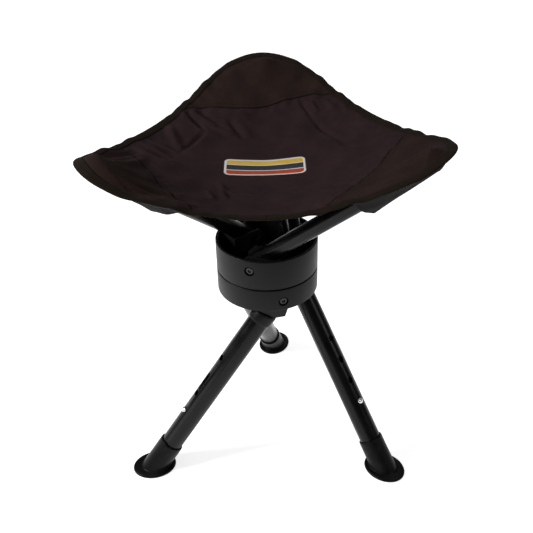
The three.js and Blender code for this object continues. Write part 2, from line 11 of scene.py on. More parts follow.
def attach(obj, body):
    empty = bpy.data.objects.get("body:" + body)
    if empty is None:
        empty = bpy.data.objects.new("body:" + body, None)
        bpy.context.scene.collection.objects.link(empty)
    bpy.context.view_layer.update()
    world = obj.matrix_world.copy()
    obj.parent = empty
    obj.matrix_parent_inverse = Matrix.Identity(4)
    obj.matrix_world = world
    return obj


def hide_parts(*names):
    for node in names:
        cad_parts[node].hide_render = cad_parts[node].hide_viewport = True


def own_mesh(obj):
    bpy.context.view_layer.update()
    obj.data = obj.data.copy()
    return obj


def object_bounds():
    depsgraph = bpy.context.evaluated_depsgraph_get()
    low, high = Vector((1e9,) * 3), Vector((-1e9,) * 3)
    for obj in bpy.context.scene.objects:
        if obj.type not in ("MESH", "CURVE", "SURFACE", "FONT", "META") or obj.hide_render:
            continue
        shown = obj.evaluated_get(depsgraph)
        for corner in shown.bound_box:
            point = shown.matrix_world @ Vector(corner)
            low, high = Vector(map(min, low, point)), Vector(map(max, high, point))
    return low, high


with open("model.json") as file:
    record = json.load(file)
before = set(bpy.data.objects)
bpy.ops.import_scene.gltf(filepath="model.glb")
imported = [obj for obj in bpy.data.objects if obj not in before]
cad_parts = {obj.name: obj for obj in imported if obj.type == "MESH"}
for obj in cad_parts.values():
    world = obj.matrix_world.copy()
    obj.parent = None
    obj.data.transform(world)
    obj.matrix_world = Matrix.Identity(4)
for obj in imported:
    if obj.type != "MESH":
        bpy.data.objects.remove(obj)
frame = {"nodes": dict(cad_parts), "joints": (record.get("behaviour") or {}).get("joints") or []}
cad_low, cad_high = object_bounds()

MM = 0.001
UP = Vector((0, 0, 1))
LIMBS = (1, 2, 3)
SIDES = (("left", 1), ("right", -1))

# ---- places, from the frame ----
JOINTS = {joint["name"]: joint for joint in frame["joints"]}


def place_of(joint):
    return Vector(JOINTS[joint]["pos_m"])


HUB = place_of("seat_swivel")
HUB_AXIS = Vector((HUB.x, HUB.y, 0))


def frame_at(place, *axes):
    matrix = Matrix(axes).transposed().to_4x4()
    matrix.translation = place
    return matrix


def limb_frame(pivot, along):
    """At a pivot: Z along the tube, Y level to its left, X on its underside."""
    left = UP.cross(Vector((along.x, along.y, 0)).normalized())
    return frame_at(pivot, left.cross(along), left, along)


def leg_frame(n):
    return limb_frame(place_of(f"leg_fold_{n}"), Vector(JOINTS[f"leg_extend_{n}"]["axis"]))


def arm_frame(n):
    pivot = place_of(f"arm_fold_{n}")
    return limb_frame(pivot, (place_of(f"seat_drape_left_{n}") - pivot).normalized())


def level_frame(tube, place):
    """The tube's frame turned upright at a place: X outward, Z up."""
    outward_way = Vector((tube.col[2].x, tube.col[2].y, 0)).normalized()
    return frame_at(place, outward_way, UP.cross(outward_way), UP)


# ---- camera, light and floor ----
LENS_MM = 53.77
CAMERA_DISTANCE, CAMERA_HEIGHT = 0.7753, 0.7380
CAMERA_PITCH, CAMERA_YAW, CAMERA_ROLL = (math.radians(angle) for angle in (32.65, 0.07, -1.38))
FLOOR_HALF = 4
STOOL_MIDDLE = (cad_low + cad_high) / 2
# each lamp's name, place, target, size in metres and power in watts
LAMPS = (
    ("overhead", (-0.2, 0.1, 2.4), (0, 0, 0), 3.6, 24),
    ("key", (-1.35, -0.35, 1.05), STOOL_MIDDLE, 0.45, 23),
    ("fill", (1.3, -0.8, 0.9), STOOL_MIDDLE, 0.6, 2.5),
    ("rim", (0.5, 1.5, 1.0), STOOL_MIDDLE, 0.6, 1.2),
)


def add_object(name, data):
    made = bpy.data.objects.new(name, data)
    bpy.context.scene.collection.objects.link(made)
    return made


def make_camera():
    data = bpy.data.cameras.new("camera")
    data.lens = LENS_MM
    data.clip_start = 0.05
    camera = add_object("camera", data)
    turn = (
        Matrix.Rotation(CAMERA_YAW, 4, "Z")
        @ Matrix.Rotation(math.pi / 2 - CAMERA_PITCH, 4, "X")
        @ Matrix.Rotation(CAMERA_ROLL, 4, "Z")
    )
    camera.matrix_world = Matrix.Translation((HUB.x, HUB.y - CAMERA_DISTANCE, CAMERA_HEIGHT)) @ turn
    bpy.context.scene.camera = camera


def area_light(name, place, target, size, power):
    data = bpy.data.lights.new(name, "AREA")
    data.shape = "DISK"
    data.size = size
    data.energy = power
    light = add_object(name, data)
    light.location = place
    light.rotation_euler = (Vector(target) - Vector(place)).to_track_quat("-Z", "Y").to_euler()


def make_world():
    """White where the camera looks past the floor, dim where surfaces reflect it."""
    world = bpy.data.worlds.new("studio")
    bpy.context.scene.world = world
    world.use_nodes = True
    nodes, links = world.node_tree.nodes, world.node_tree.links
    background = nodes["Background"]
    background.inputs["Color"].default_value = (1, 1, 1, 1)
    path = nodes.new("ShaderNodeLightPath")
    strength = nodes.new("ShaderNodeMapRange")
    strength.inputs["To Min"].default_value = 0.1
    strength.inputs["To Max"].default_value = 1.0
    links.new(path.outputs["Is Camera Ray"], strength.inputs["Value"])
    links.new(strength.outputs["Result"], background.inputs["Strength"])


def make_floor():
    """A white floor, with more glow far off, where the lamps don't reach."""
    half = FLOOR_HALF
    corners = [(-half, -half, 0), (half, -half, 0), (half, half, 0), (-half, half, 0)]
    floor = new_object("floor", corners, [(0, 1, 2, 3)])
    paint = Finish("floor", (0.9, 0.9, 0.9), 0.95, Specular_IOR_Level=0.0, Emission_Color=(1, 1, 1, 1))
    distance = paint.node("VectorMath", {0: paint.place()}, operation="LENGTH").outputs["Value"]
    paint.drive("Emission Strength", paint.spread(distance, 0.7, 0.95, 1.0, 3.5))
    floor.data.materials.append(paint.material)


def make_studio():
    bpy.context.scene.view_settings.view_transform = "Standard"
    make_world()
    make_floor()
    for lamp in LAMPS:
        area_light(*lamp)


# ---- materials ----
class Finish:
    """A material on the Principled shader, with the nodes that vary it."""

    def __init__(self, name, colour, roughness, **sockets):
        self.material = bpy.data.materials.new(name)
        self.material.use_nodes = True
        self.tree = self.material.node_tree
        self.shader = self.tree.nodes["Principled BSDF"]
        self.shader.inputs["Base Color"].default_value = (*colour, 1)
        self.shader.inputs["Roughness"].default_value = roughness
        for socket, value in sockets.items():
            self.shader.inputs[socket.replace("_", " ")].default_value = value

    def node(self, kind, inputs=None, **settings):
        made = self.tree.nodes.new("ShaderNode" + kind)
        for name, value in settings.items():
            setattr(made, name, value)
        for name, value in (inputs or {}).items():
            if isinstance(value, bpy.types.NodeSocket):
                self.tree.links.new(value, made.inputs[name])
            else:
                made.inputs[name].default_value = value
        return made

    def place(self):
        """What the patterns are laid out on."""
        return self.node("TexCoord").outputs["Object"]

    def stored(self, name, output="Fac"):
        """A value that the mesh keeps for each point."""
        return self.node("Attribute", attribute_name=name).outputs[output]

    def noise(self, scale, detail=2.0, roughness=0.5):
        inputs = {"Vector": self.place(), "Scale": scale, "Detail": detail, "Roughness": roughness}
        return self.node("TexNoise", inputs).outputs["Fac"]

    def math(self, operation, a, b=0.0, offset=0.5):
        """One sum; offset is the third value, where the operation takes one."""
        return self.node("Math", {0: a, 1: b, 2: offset}, operation=operation).outputs[0]

    def wave(self, value, pitch):
        return self.math("SINE", self.math("MULTIPLY", value, 2 * math.pi / pitch))

    def spread(self, value, low, high, start=0.3, end=0.7):
        """value from start..end stretched to low..high."""
        inputs = {"Value": value, "From Min": start, "From Max": end, "To Min": low, "To Max": high}
        return self.node("MapRange", inputs).outputs["Result"]

    def blend(self, share, first, second):
        """A mix of two colours, each given as numbers or as a socket."""
        first, second = (
            value if isinstance(value, bpy.types.NodeSocket) else (*value, 1)
            for value in (first, second)
        )
        return self.node("Mix", {"Factor": share, 6: first, 7: second}, data_type="RGBA").outputs[2]

    def bump(self, height, depth, under=None):
        """height 0..1 raised by depth metres."""
        inputs = {"Height": height, "Strength": 1.0, "Distance": depth}
        if under is not None:
            inputs["Normal"] = under
        return self.node("Bump", inputs).outputs["Normal"]

    def drive(self, socket, value):
        self.tree.links.new(value, self.shader.inputs[socket])

    def painted(self, colour, roughness, normal):
        """The material, with its colour, roughness and normal driven by nodes."""
        self.drive("Base Color", colour)
        self.drive("Roughness", roughness)
        self.drive("Normal", normal)
        return self.material


def shaded(colour, share):
    return tuple(channel * share for channel in colour)


def dusted(colour, step):
    return tuple(channel + step for channel in colour)


def moulded_plastic(name, colour, roughness):
    """Spark-textured plastic with a faint handling polish."""
    finish = Finish(name, colour, roughness, Specular_IOR_Level=0.14)
    clouds = finish.noise(28, 3)
    waves = finish.bump(finish.noise(60, 2), 0.0001)
    return finish.painted(
        finish.blend(finish.spread(clouds, 0, 1), shaded(colour, 0.86), shaded(colour, 1.14)),
        finish.spread(clouds, roughness - 0.06, roughness + 0.06),
        finish.bump(finish.noise(2600, 1), 0.00004, waves),
    )


def powder_coat(name, colour, roughness):
    """Semi-gloss paint on steel tube: orange peel, and faint scuffs."""
    finish = Finish(name, colour, roughness, Specular_IOR_Level=0.16, Coat_Weight=0.05, Coat_Roughness=0.12)
    scuffs = finish.spread(finish.noise(130, 6, roughness=0.75), 0, 1, 0.62, 0.74)
    return finish.painted(
        finish.blend(scuffs, colour, dusted(colour, 0.007)),
        finish.spread(finish.noise(45, 3), roughness - 0.05, roughness + 0.08),
        finish.bump(finish.noise(900, 1), 0.00003),
    )


def rubber(name, colour):
    """Matt rubber with dust in patches."""
    finish = Finish(name, colour, 0.36, Specular_IOR_Level=0.1)
    dust = finish.spread(finish.noise(75, 5, roughness=0.7), 0, 1, 0.5, 0.8)
    return finish.painted(
        finish.blend(dust, colour, dusted(colour, 0.008)),
        finish.spread(finish.noise(30, 3), 0.3, 0.46),
        finish.bump(finish.noise(1400, 2), 0.00005),
    )


def metal(name, colour, roughness):
    """Plated or blackened steel with fine, uneven marks."""
    finish = Finish(name, colour, roughness, Metallic=1.0)
    fine = finish.noise(400, 4, roughness=0.7)
    return finish.painted(
        finish.blend(finish.spread(fine, 0, 1), shaded(colour, 0.8), colour),
        finish.spread(fine, roughness - 0.06, roughness + 0.12),
        finish.bump(fine, 0.00002),
    )


THREAD_PITCH = 0.00055
WEAVE_DEPTH = 0.00012
CORD_PITCH = 0.0035  # between the hem tape's cords
CORD_DEPTH = 0.0002
PATCH_HALF = (0.044, 0.019)
PATCH_CORNER = 0.007
PATCH_BORDER = 0.0028
PATCH_BAND = 0.0062  # half the dark middle band's height
PATCH_EDGE = 0.0006  # the dark outline's width
SATIN_PITCH = 0.0009
BORDER_WHITE = (0.6, 0.59, 0.56)


class Cloth(Finish):
    """Matt polyester, patterned on the cloth's own flat coordinates."""

    def __init__(self, name, colour):
        super().__init__(
            name, colour, 0.82,
            Sheen_Weight=0.01, Sheen_Roughness=0.4, Sheen_Tint=(0.8, 0.66, 0.65, 1),
            Specular_IOR_Level=0.05,
        )
        parts = self.node("SeparateXYZ", {"Vector": self.place()})
        self.across, self.up = parts.outputs["X"], parts.outputs["Y"]

    def place(self):
        return self.stored("flat", "Vector")

    def weave(self):
        """A plain weave, 0 to 1."""
        warp, weft = self.wave(self.across, 2 * THREAD_PITCH), self.wave(self.up, 2 * THREAD_PITCH)
        return self.math("MULTIPLY_ADD", self.math("MULTIPLY", warp, weft), 0.5)

    def cords(self):
        """The cords along a woven tape, 0.5 to 0.9."""
        return self.math("MULTIPLY_ADD", self.wave(self.up, CORD_PITCH), 0.2, 0.7)

    def dyed(self, colour, weave):
        """Uneven dye, threads lighter than the gaps between them, and a little lint."""
        warm = (colour[0] * 1.45, colour[1] * 1.2, colour[2] * 1.12)
        clouds = self.blend(self.spread(self.noise(22, 5, 0.7), 0, 1), shaded(colour, 0.75), warm)
        threads = self.blend(self.spread(weave, 0, 0.45, 0, 1), clouds, shaded(colour, 0.55))
        lint = self.spread(self.noise(1100, 2), 0, 0.4, 0.62, 0.85)
        return self.blend(lint, threads, shaded(colour, 2.2))

    def relief(self, weave, depth):
        ripple = self.bump(self.noise(70, 3), 0.0005)
        return self.bump(weave, depth, self.bump(self.noise(240, 2), 0.0001, ripple))

    def woven(self, colour, normal):
        return self.painted(colour, self.spread(self.noise(40, 3), 0.75, 0.9), normal)

    def patch_depth(self):
        """How far inside the seat's sewn-on patch a point is, in metres; negative outside."""
        over = []
        for value, half in zip((self.across, self.up), PATCH_HALF):
            over.append(self.math("SUBTRACT", self.math("ABSOLUTE", value), half - PATCH_CORNER))
        outside = [self.math("MAXIMUM", value, 0.0) for value in over]
        squares = [self.math("MULTIPLY", value, value) for value in outside]
        corner = self.math("SQRT", self.math("ADD", *squares))
        inner = self.math("MINIMUM", self.math("MAXIMUM", *over), 0.0)
        return self.math("SUBTRACT", PATCH_CORNER, self.math("ADD", corner, inner))

    def patch_colour(self, depth):
        """Three bands with pale piping between them, a pale border and a dark outline."""
        gold, slate, red = (0.55, 0.36, 0.06), (0.035, 0.037, 0.045), (0.36, 0.06, 0.03)
        piping = self.math("COMPARE", self.math("ABSOLUTE", self.up), PATCH_BAND, 0.0007)
        bands = self.blend(self.math("GREATER_THAN", self.up, PATCH_BAND), slate, gold)
        bands = self.blend(self.math("LESS_THAN", self.up, -PATCH_BAND), bands, red)
        bands = self.blend(piping, bands, BORDER_WHITE)
        bands = self.blend(self.math("LESS_THAN", depth, PATCH_BORDER), bands, BORDER_WHITE)
        return self.blend(self.math("LESS_THAN", depth, PATCH_EDGE), bands, (0.12, 0.12, 0.12))

    def satin_stitch(self):
        """Fine slanting threads, 0.8 to 1."""
        slant = self.math("MULTIPLY_ADD", self.up, 0.35, self.across)
        return self.math("MULTIPLY_ADD", self.wave(slant, SATIN_PITCH), 0.1, 0.9)


def pocket_cloth(name, colour):
    cloth = Cloth(name, colour)
    weave = cloth.weave()
    return cloth.woven(cloth.dyed(colour, weave), cloth.relief(weave, WEAVE_DEPTH))


def corded_tape(name, colour):
    tape = Cloth(name, colour)
    cords = tape.cords()
    return tape.woven(tape.dyed(colour, cords), tape.relief(cords, CORD_DEPTH))


def seat_cloth(name, colour, corner_colour):
    """The seat's cloth, browner beyond the corner seams, with a plain banded patch in the middle."""
    cloth = Cloth(name, colour)
    seam, upper, weave = cloth.stored("seam"), cloth.stored("upper"), cloth.weave()
    beyond = cloth.math("GREATER_THAN", seam, 0.0)
    near_seam = cloth.spread(cloth.math("ABSOLUTE", seam), 1, 0, 0.0002, 0.0011)
    dye = cloth.blend(beyond, cloth.dyed(colour, weave), cloth.dyed(corner_colour, weave))
    dye = cloth.blend(near_seam, dye, shaded(colour, 0.2))
    depth = cloth.patch_depth()
    on_patch = cloth.math("MULTIPLY", cloth.math("GREATER_THAN", depth, 0.0), upper)
    fold_edge = cloth.math("SUBTRACT", cloth.spread(seam, 0, 1, -0.0006, 0.0006), near_seam)
    relief = cloth.bump(fold_edge, 0.0006, cloth.relief(weave, WEAVE_DEPTH))
    raised = cloth.math("MULTIPLY", cloth.spread(depth, 0, 1, 0, 0.0009), upper)
    thread = cloth.math("MULTIPLY", raised, cloth.satin_stitch())
    dye = cloth.blend(on_patch, dye, cloth.patch_colour(depth))
    return cloth.woven(dye, cloth.bump(thread, 0.0007, relief))


BLACK_BROWN = (0.0205, 0.0122, 0.0143)
CORNER_BROWN = (0.0185, 0.0118, 0.0104)
MATERIALS = {
    "hub_plastic": moulded_plastic("hub plastic", (0.0052, 0.0046, 0.0048), 0.45),
    "fitting_plastic": moulded_plastic("fitting plastic", (0.004, 0.0038, 0.0041), 0.34),
    "black_tube": powder_coat("black tube", (0.0018, 0.0017, 0.0019), 0.25),
    "black_screw": metal("black oxide", (0.05, 0.05, 0.052), 0.38),
    "bright_steel": metal("bright steel", (0.8, 0.81, 0.82), 0.18),
    "foot_rubber": rubber("foot rubber", (0.0026, 0.0025, 0.0027)),
    "nylon": moulded_plastic("nylon", (0.7, 0.68, 0.64), 0.45),
    "seat_fabric": seat_cloth("seat cloth", BLACK_BROWN, CORNER_BROWN),
}
HEM_TAPE = corded_tape("hem tape", (0.0122, 0.0088, 0.0064))
POCKET_CLOTH = pocket_cloth("pocket cloth", (0.0035, 0.0028, 0.003))
THREAD = Finish("thread", (0.0085, 0.0062, 0.0064), 0.6, Specular_IOR_Level=0.1).material


# ---- mesh helpers ----
def new_object(name, points, faces):
    mesh = bpy.data.meshes.new(name)
    mesh.from_pydata([tuple(p) for p in points], [], faces)
    mesh.validate()
    mesh.update()
    return add_object(name, mesh)


def outward(made):
    """Turns a closed mesh's faces outward."""
    mesh = bmesh.new()
    mesh.from_mesh(made.data)
    bmesh.ops.recalc_face_normals(mesh, faces=mesh.faces)
    mesh.to_mesh(made.data)
    mesh.free()
    return made


def solid(points, faces, matrix):
    """A closed solid from points in metres, put in its place."""
    made = new_object("solid", points, faces)
    made.data.transform(matrix)
    return outward(made)


def lathe(profile, segments, matrix):
    """A closed solid turned about Z from (radius, height) points in millimetres."""
    angles = [2 * math.pi * i / segments for i in range(segments)]
    points, rows = [], []
    for radius, height in profile:
        start = len(points)
        if radius == 0:
            points.append((0, 0, height * MM))
            rows.append([start] * segments)
            continue
        points += [(radius * MM * math.cos(a), radius * MM * math.sin(a), height * MM) for a in angles]
        rows.append(range(start, start + segments))
    hollow = profile[0][0] != 0
    faces = []
    for low, high in list(zip(rows, rows[1:])) + ([(rows[-1], rows[0])] if hollow else []):
        for i in range(segments):
            j = (i + 1) % segments
            face = list(dict.fromkeys((low[i], low[j], high[j], high[i])))
            if len(face) > 2:
                faces.append(face)
    return solid(points, faces, matrix)


def prism(outline, low, high, matrix):
    """A closed solid: an outline of (x, z) points in millimetres, from y = low to y = high."""
    count = len(outline)
    points = [(x * MM, y * MM, z * MM) for y in (low, high) for x, z in outline]
    faces = [list(range(count)), list(range(2 * count - 1, count - 1, -1))]
    faces += [[i, i + count, (i + 1) % count + count, (i + 1) % count] for i in range(count)]
    return solid(points, faces, matrix)


def apply_modifiers(made):
    graph = bpy.context.evaluated_depsgraph_get()
    mesh = bpy.data.meshes.new_from_object(made.evaluated_get(graph))
    old = made.data
    made.modifiers.clear()
    made.data = mesh
    bpy.data.meshes.remove(old)
    return made


def combine(made, others, operation):
    """Joins or cuts other solids, and removes them."""
    for other in others:
        step = made.modifiers.new("combine", "BOOLEAN")
        step.operation = operation
        step.solver = "EXACT"
        step.object = other
        apply_modifiers(made)
        bpy.data.objects.remove(other)
    return made


def rounded(made, grain, rounds):
    """Rounds every edge a little, as a mould does."""
    remesh = made.modifiers.new("grain", "REMESH")
    remesh.mode = "VOXEL"
    remesh.voxel_size = grain
    remesh.use_smooth_shade = True
    soften = made.modifiers.new("soften", "SMOOTH")
    soften.factor = 0.5
    soften.iterations = rounds
    return apply_modifiers(made)


def smooth(made, angle):
    made.data.shade_smooth()
    made.data.set_sharp_from_angle(angle=math.radians(angle))
    return made


def finished(made, name, slot, body, node):
    """Names a piece, paints it, and hangs it on its body in place of its CAD node."""
    made.name = name
    made.data.materials.clear()
    made.data.materials.append(MATERIALS[slot])
    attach(made, body)
    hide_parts(node)


def stand_in(made, n, stem, slot, body, node):
    """Finishes one of a limb's pieces, which are all numbered alike."""
    finished(made, f"{stem}_detail_{n}", slot, f"{body}_{n}", f"{node}_{n}")


# ---- hub ----
HUB_RADIUS = 58
HUB_WALL = 3.5
LOWER_HUB = (218.5, 245.9)  # its height above the floor
UPPER_HUB = (246.9, 283)
PLATE_BOTTOM = LOWER_HUB[1] - 3
FLOOR_TOP = UPPER_HUB[0] + 4
CHEEK = 3  # the plates beside a tube's end
TUBE_RADIUS = 9.525
POCKET_HALF = TUBE_RADIUS + 0.4
BOSS_RADIUS = 8.5
BOSS_END = 56.2
SCREW_SEAT = 54.3
COUNTERBORE_RADIUS = 5.6
SCREW_HOLE_RADIUS = 3.3
BOLT_HOLE_RADIUS = 4.3
WASHER_WELL_RADIUS = 30.3
PAST_WALL = 62
LEG_PIVOT = (-3.6, 38.5, 230)
ARM_PIVOT = (0, -33.1, 269.8)
LEG_LEAN = math.radians(35.2)
ARM_RISE = math.radians(38.8)
LUG_END = 25.5
LUG_HALF = 13


def around(azimuth):
    """At the hub's axis on the floor, X towards the azimuth."""
    return Matrix.Translation(HUB_AXIS) @ Matrix.Rotation(azimuth, 4, "Z")


def on_axis(profile, segments):
    """A solid turned about the hub's axis."""
    return lathe(profile, segments, Matrix.Translation(HUB_AXIS))


def azimuth_of(frame_matrix):
    return math.atan2(frame_matrix.col[2].y, frame_matrix.col[2].x)


LEG_AZIMUTHS = [azimuth_of(leg_frame(n)) for n in LIMBS]
ARM_AZIMUTHS = [azimuth_of(arm_frame(n)) for n in LIMBS]


def bevelled(made, width=0.5):
    step = made.modifiers.new("edges", "BEVEL")
    step.width = width * MM
    step.segments = 2
    step.limit_method = "ANGLE"
    step.angle_limit = math.radians(25)
    return apply_modifiers(made)


def plate(outline, low, high, matrix):
    """A moulded plate with softened edges."""
    return bevelled(prism(outline, low, high, matrix))


def cross_rod(profile, x, z, matrix, segments=40):
    """A turned solid along Y at (x, z); its profile is (radius, place along Y)."""
    turn = Matrix.Translation((x * MM, 0, z * MM)) @ Matrix.Rotation(-math.pi / 2, 4, "X")
    return lathe(profile, segments, matrix @ turn)


def rod_profile(radius, low, high):
    return [(0, low), (radius, low), (radius, high), (0, high)]


def leg_along(s, w):
    """A place along the leg (s) and across it (w), as (x, z) in the leg's upright frame."""
    tilt_x, tilt_z = math.sin(LEG_LEAN), -math.cos(LEG_LEAN)
    return (LEG_PIVOT[0] + s * tilt_x + w * abs(tilt_z), LEG_PIVOT[2] + s * tilt_z + w * tilt_x)


def leg_cheek_outline():
    lug_bottom = LEG_PIVOT[2] - LUG_END
    lip_x, lip_z = leg_along(LUG_END, LUG_HALF)
    cut_x, cut_z = leg_along(LUG_END, 0)
    low_x = cut_x - (cut_z - lug_bottom) / math.tan(LEG_LEAN)
    top, bottom = PLATE_BOTTOM + 1, LOWER_HUB[0]
    return [
        (-18, top), (-18, bottom + 2), (-11, bottom - 2), (-7, lug_bottom),
        (low_x, lug_bottom), (lip_x, lip_z), (lip_x, top),
    ]


def leg_stop_outline():
    near = leg_along(4, POCKET_HALF)
    far = leg_along(LUG_END, POCKET_HALF)
    lip = leg_along(LUG_END, LUG_HALF)
    return [far, lip, (lip[0], PLATE_BOTTOM + 1), (near[0] + 1.5, PLATE_BOTTOM + 1), near]


def leg_mount(azimuth):
    at = around(azimuth)
    inner, outer = LEG_PIVOT[1] - POCKET_HALF, LEG_PIVOT[1] + POCKET_HALF
    return [
        plate(leg_cheek_outline(), outer, outer + CHEEK, at),
        plate(leg_cheek_outline(), inner - CHEEK, inner, at),
        plate(leg_stop_outline(), inner - 1, outer + 1, at),
        cross_rod(rod_profile(BOSS_RADIUS, outer, BOSS_END), LEG_PIVOT[0], LEG_PIVOT[2], at),
    ]


def rest_height(x):
    return ARM_PIVOT[2] + x * math.tan(ARM_RISE) - POCKET_HALF / math.cos(ARM_RISE)


def arm_mount(azimuth):
    at = around(azimuth)
    inner, outer = ARM_PIVOT[1] + POCKET_HALF, ARM_PIVOT[1] - POCKET_HALF
    floor, top = FLOOR_TOP - 1, UPPER_HUB[1] - 2.5
    rib_start, rib_end = 12, 30
    cheek = [(-14, floor), (rib_end, floor), (rib_end, top), (-6, top), (-14, top - 8)]
    rib = [
        (rib_start, floor), (rib_end, floor),
        (rib_end, rest_height(rib_end)), (rib_start, rest_height(rib_start)),
    ]
    return [
        plate(cheek, outer - CHEEK, outer, at),
        plate(cheek, inner, inner + CHEEK, at),
        plate(rib, outer - 1, inner + 1, at),
        cross_rod(rod_profile(BOSS_RADIUS, -BOSS_END, outer), ARM_PIVOT[0], ARM_PIVOT[2], at),
    ]


def screw_cuts(pivot, side, azimuth):
    """A hole and a chamfered counterbore, from the outside in."""
    at = around(azimuth)
    seat, out = side * SCREW_SEAT, side * PAST_WALL
    mouth, flare = side * (HUB_RADIUS - 2.6), COUNTERBORE_RADIUS + 0.5
    hole = rod_profile(SCREW_HOLE_RADIUS, *sorted((side * 10, out)))
    bore = [(0, seat), (COUNTERBORE_RADIUS, seat), (COUNTERBORE_RADIUS, mouth), (flare, out), (0, out)]
    return [cross_rod(shape, pivot[0], pivot[2], at, 48) for shape in (hole, bore)]


def rounded_rim(low, high, radius=1.2, steps=4):
    """The outer wall from low to high with rounded edges, as (radius, height) points."""
    turns = [math.pi / 2 * i / steps for i in range(steps + 1)]
    inset = HUB_RADIUS - radius
    lower = [(inset + radius * math.sin(t), low + radius - radius * math.cos(t)) for t in turns]
    upper = [(inset + radius * math.cos(t), high - radius + radius * math.sin(t)) for t in turns]
    return lower + upper


def hub_shell(profile, boss, mounts, cuts):
    """A turned shell with its centre boss and its limbs' mounts, and the screws' holes cut out."""
    body = on_axis(profile, 160)
    combine(body, [boss, *mounts], "UNION")
    return smooth(combine(body, cuts, "DIFFERENCE"), 30)


def lower_hub():
    inside = HUB_RADIUS - HUB_WALL
    low, high = LOWER_HUB
    profile = [(inside, low + 0.4), (inside + 0.4, low), *rounded_rim(low, high)]
    profile += [(0, high), (0, PLATE_BOTTOM), (inside - 1.5, PLATE_BOTTOM), (inside, PLATE_BOTTOM - 1.5)]
    boss = [(0, 227), (11, 227), (12, 228), (12, PLATE_BOTTOM + 1), (0, PLATE_BOTTOM + 1)]
    mounts = [part for azimuth in LEG_AZIMUTHS for part in leg_mount(azimuth)]
    cuts = [cut for azimuth in LEG_AZIMUTHS for cut in screw_cuts(LEG_PIVOT, 1, azimuth)]
    cuts.append(on_axis(rod_profile(BOLT_HOLE_RADIUS, 200, 260), 40))
    cuts.append(on_axis(rod_profile(WASHER_WELL_RADIUS, high - 1, 250), 96))
    return hub_shell(profile, on_axis(boss, 48), mounts, cuts)


def upper_hub():
    inside = HUB_RADIUS - HUB_WALL
    low, high = UPPER_HUB
    profile = [(0, low), *rounded_rim(low, high), (inside + 1, high), (inside + 0.3, high - 0.3)]
    profile += [(inside, high - 1), (inside, FLOOR_TOP + 2), (inside - 2, FLOOR_TOP), (0, FLOOR_TOP)]
    boss_top = 263
    boss = [(0, FLOOR_TOP - 1), (17, FLOOR_TOP - 1), (17, boss_top - 1), (16, boss_top), (0, boss_top)]
    well = [(0, 249.5), (12.5, 249.5), (12.5, boss_top - 0.8), (13.6, boss_top + 0.3), (0, boss_top + 0.3)]
    mounts = [part for azimuth in ARM_AZIMUTHS for part in arm_mount(azimuth)]
    cuts = [cut for azimuth in ARM_AZIMUTHS for cut in screw_cuts(ARM_PIVOT, -1, azimuth)]
    cuts += [on_axis(rod_profile(BOLT_HOLE_RADIUS, 240, 270), 40), on_axis(well, 64)]
    return hub_shell(profile, on_axis(boss, 64), mounts, cuts)


def pivot_screw(n, pivot, side, azimuth, stem, body):
    """A cap screw with a hex socket, its head in the counterbore."""
    def turned(shape, segments):
        profile = [(radius, side * (SCREW_SEAT - place)) for radius, place in shape]
        return cross_rod(profile, pivot[0], pivot[2], around(azimuth), segments)

    head = [(0, -2.6), (3.3, -2.6), (3.9, -2.45), (4.5, -1.9), (4.8, -1.2), (4.8, -0.3)]
    shank = [(3, -0.3), (3, 39), (2.4, 39.5), (0, 39.5)]
    socket = [(0, -4), (2.31, -4), (2.31, -1), (0, -1)]
    made = combine(turned(head + shank, 48), [turned(socket, 6)], "DIFFERENCE")
    finished(smooth(made, 32), f"{stem}_detail_{n}", "black_screw", body, f"{stem}_{n}")


def make_hubs():
    finished(lower_hub(), "hub_lower_shell", "hub_plastic", "lower_hub", "lower_hub")
    finished(upper_hub(), "hub_upper_shell", "hub_plastic", "upper_hub", "upper_hub")
    for n in LIMBS:
        pivot_screw(n, LEG_PIVOT, 1, LEG_AZIMUTHS[n - 1], "leg_pivot_screw", "lower_hub")
        pivot_screw(n, ARM_PIVOT, -1, ARM_AZIMUTHS[n - 1], "arm_pivot_screw", "upper_hub")


# ---- tubes, collars, feet and buttons; heights in these profiles count from the pivot ----
TUBE_WALL = 1.2
INNER_TUBE = (-8, 203)
OUTER_RADIUS = 12.7
OUTER_WALL = 1.1
OUTER_TUBE = (29.1, 262)
BUTTON_PLACE = 189
HOLE_PLACES = [BUTTON_PLACE - 28 * i for i in range(4)]
HOLE_RADIUS = 3.8
COLLAR = (27, 41)
FOOT_START = 238.5
LEG_LENGTH = 281.5
SOLE_HALF_WIDTH = 21.5
ARM_TUBE = (-12, 230)


def tube_profile(radius, wall, low, high, edge=0.25):
    inner = radius - wall
    return [
        (inner, low + edge), (inner + edge, low), (radius - edge, low), (radius, low + edge),
        (radius, high - edge), (radius - edge, high), (inner + edge, high), (inner, high - edge),
    ]


def on_upper_face(place):
    """At a place along a tube, Z out through its upper face."""
    return Matrix.Translation((0, 0, place * MM)) @ Matrix.Rotation(-math.pi / 2, 4, "Y")


def hole_cutter(place, matrix):
    """A drill through the tube's upper face."""
    return lathe(rod_profile(HOLE_RADIUS, 0, 20), 40, matrix @ on_upper_face(place))


def pivot_drill(matrix):
    return cross_rod(rod_profile(SCREW_HOLE_RADIUS, -20, 20), 0, 0, matrix, 32)


def drilled(tube, cutters):
    """A tube with holes, their rims and its ends eased."""
    return smooth(bevelled(combine(tube, cutters, "DIFFERENCE"), 0.22), 30)


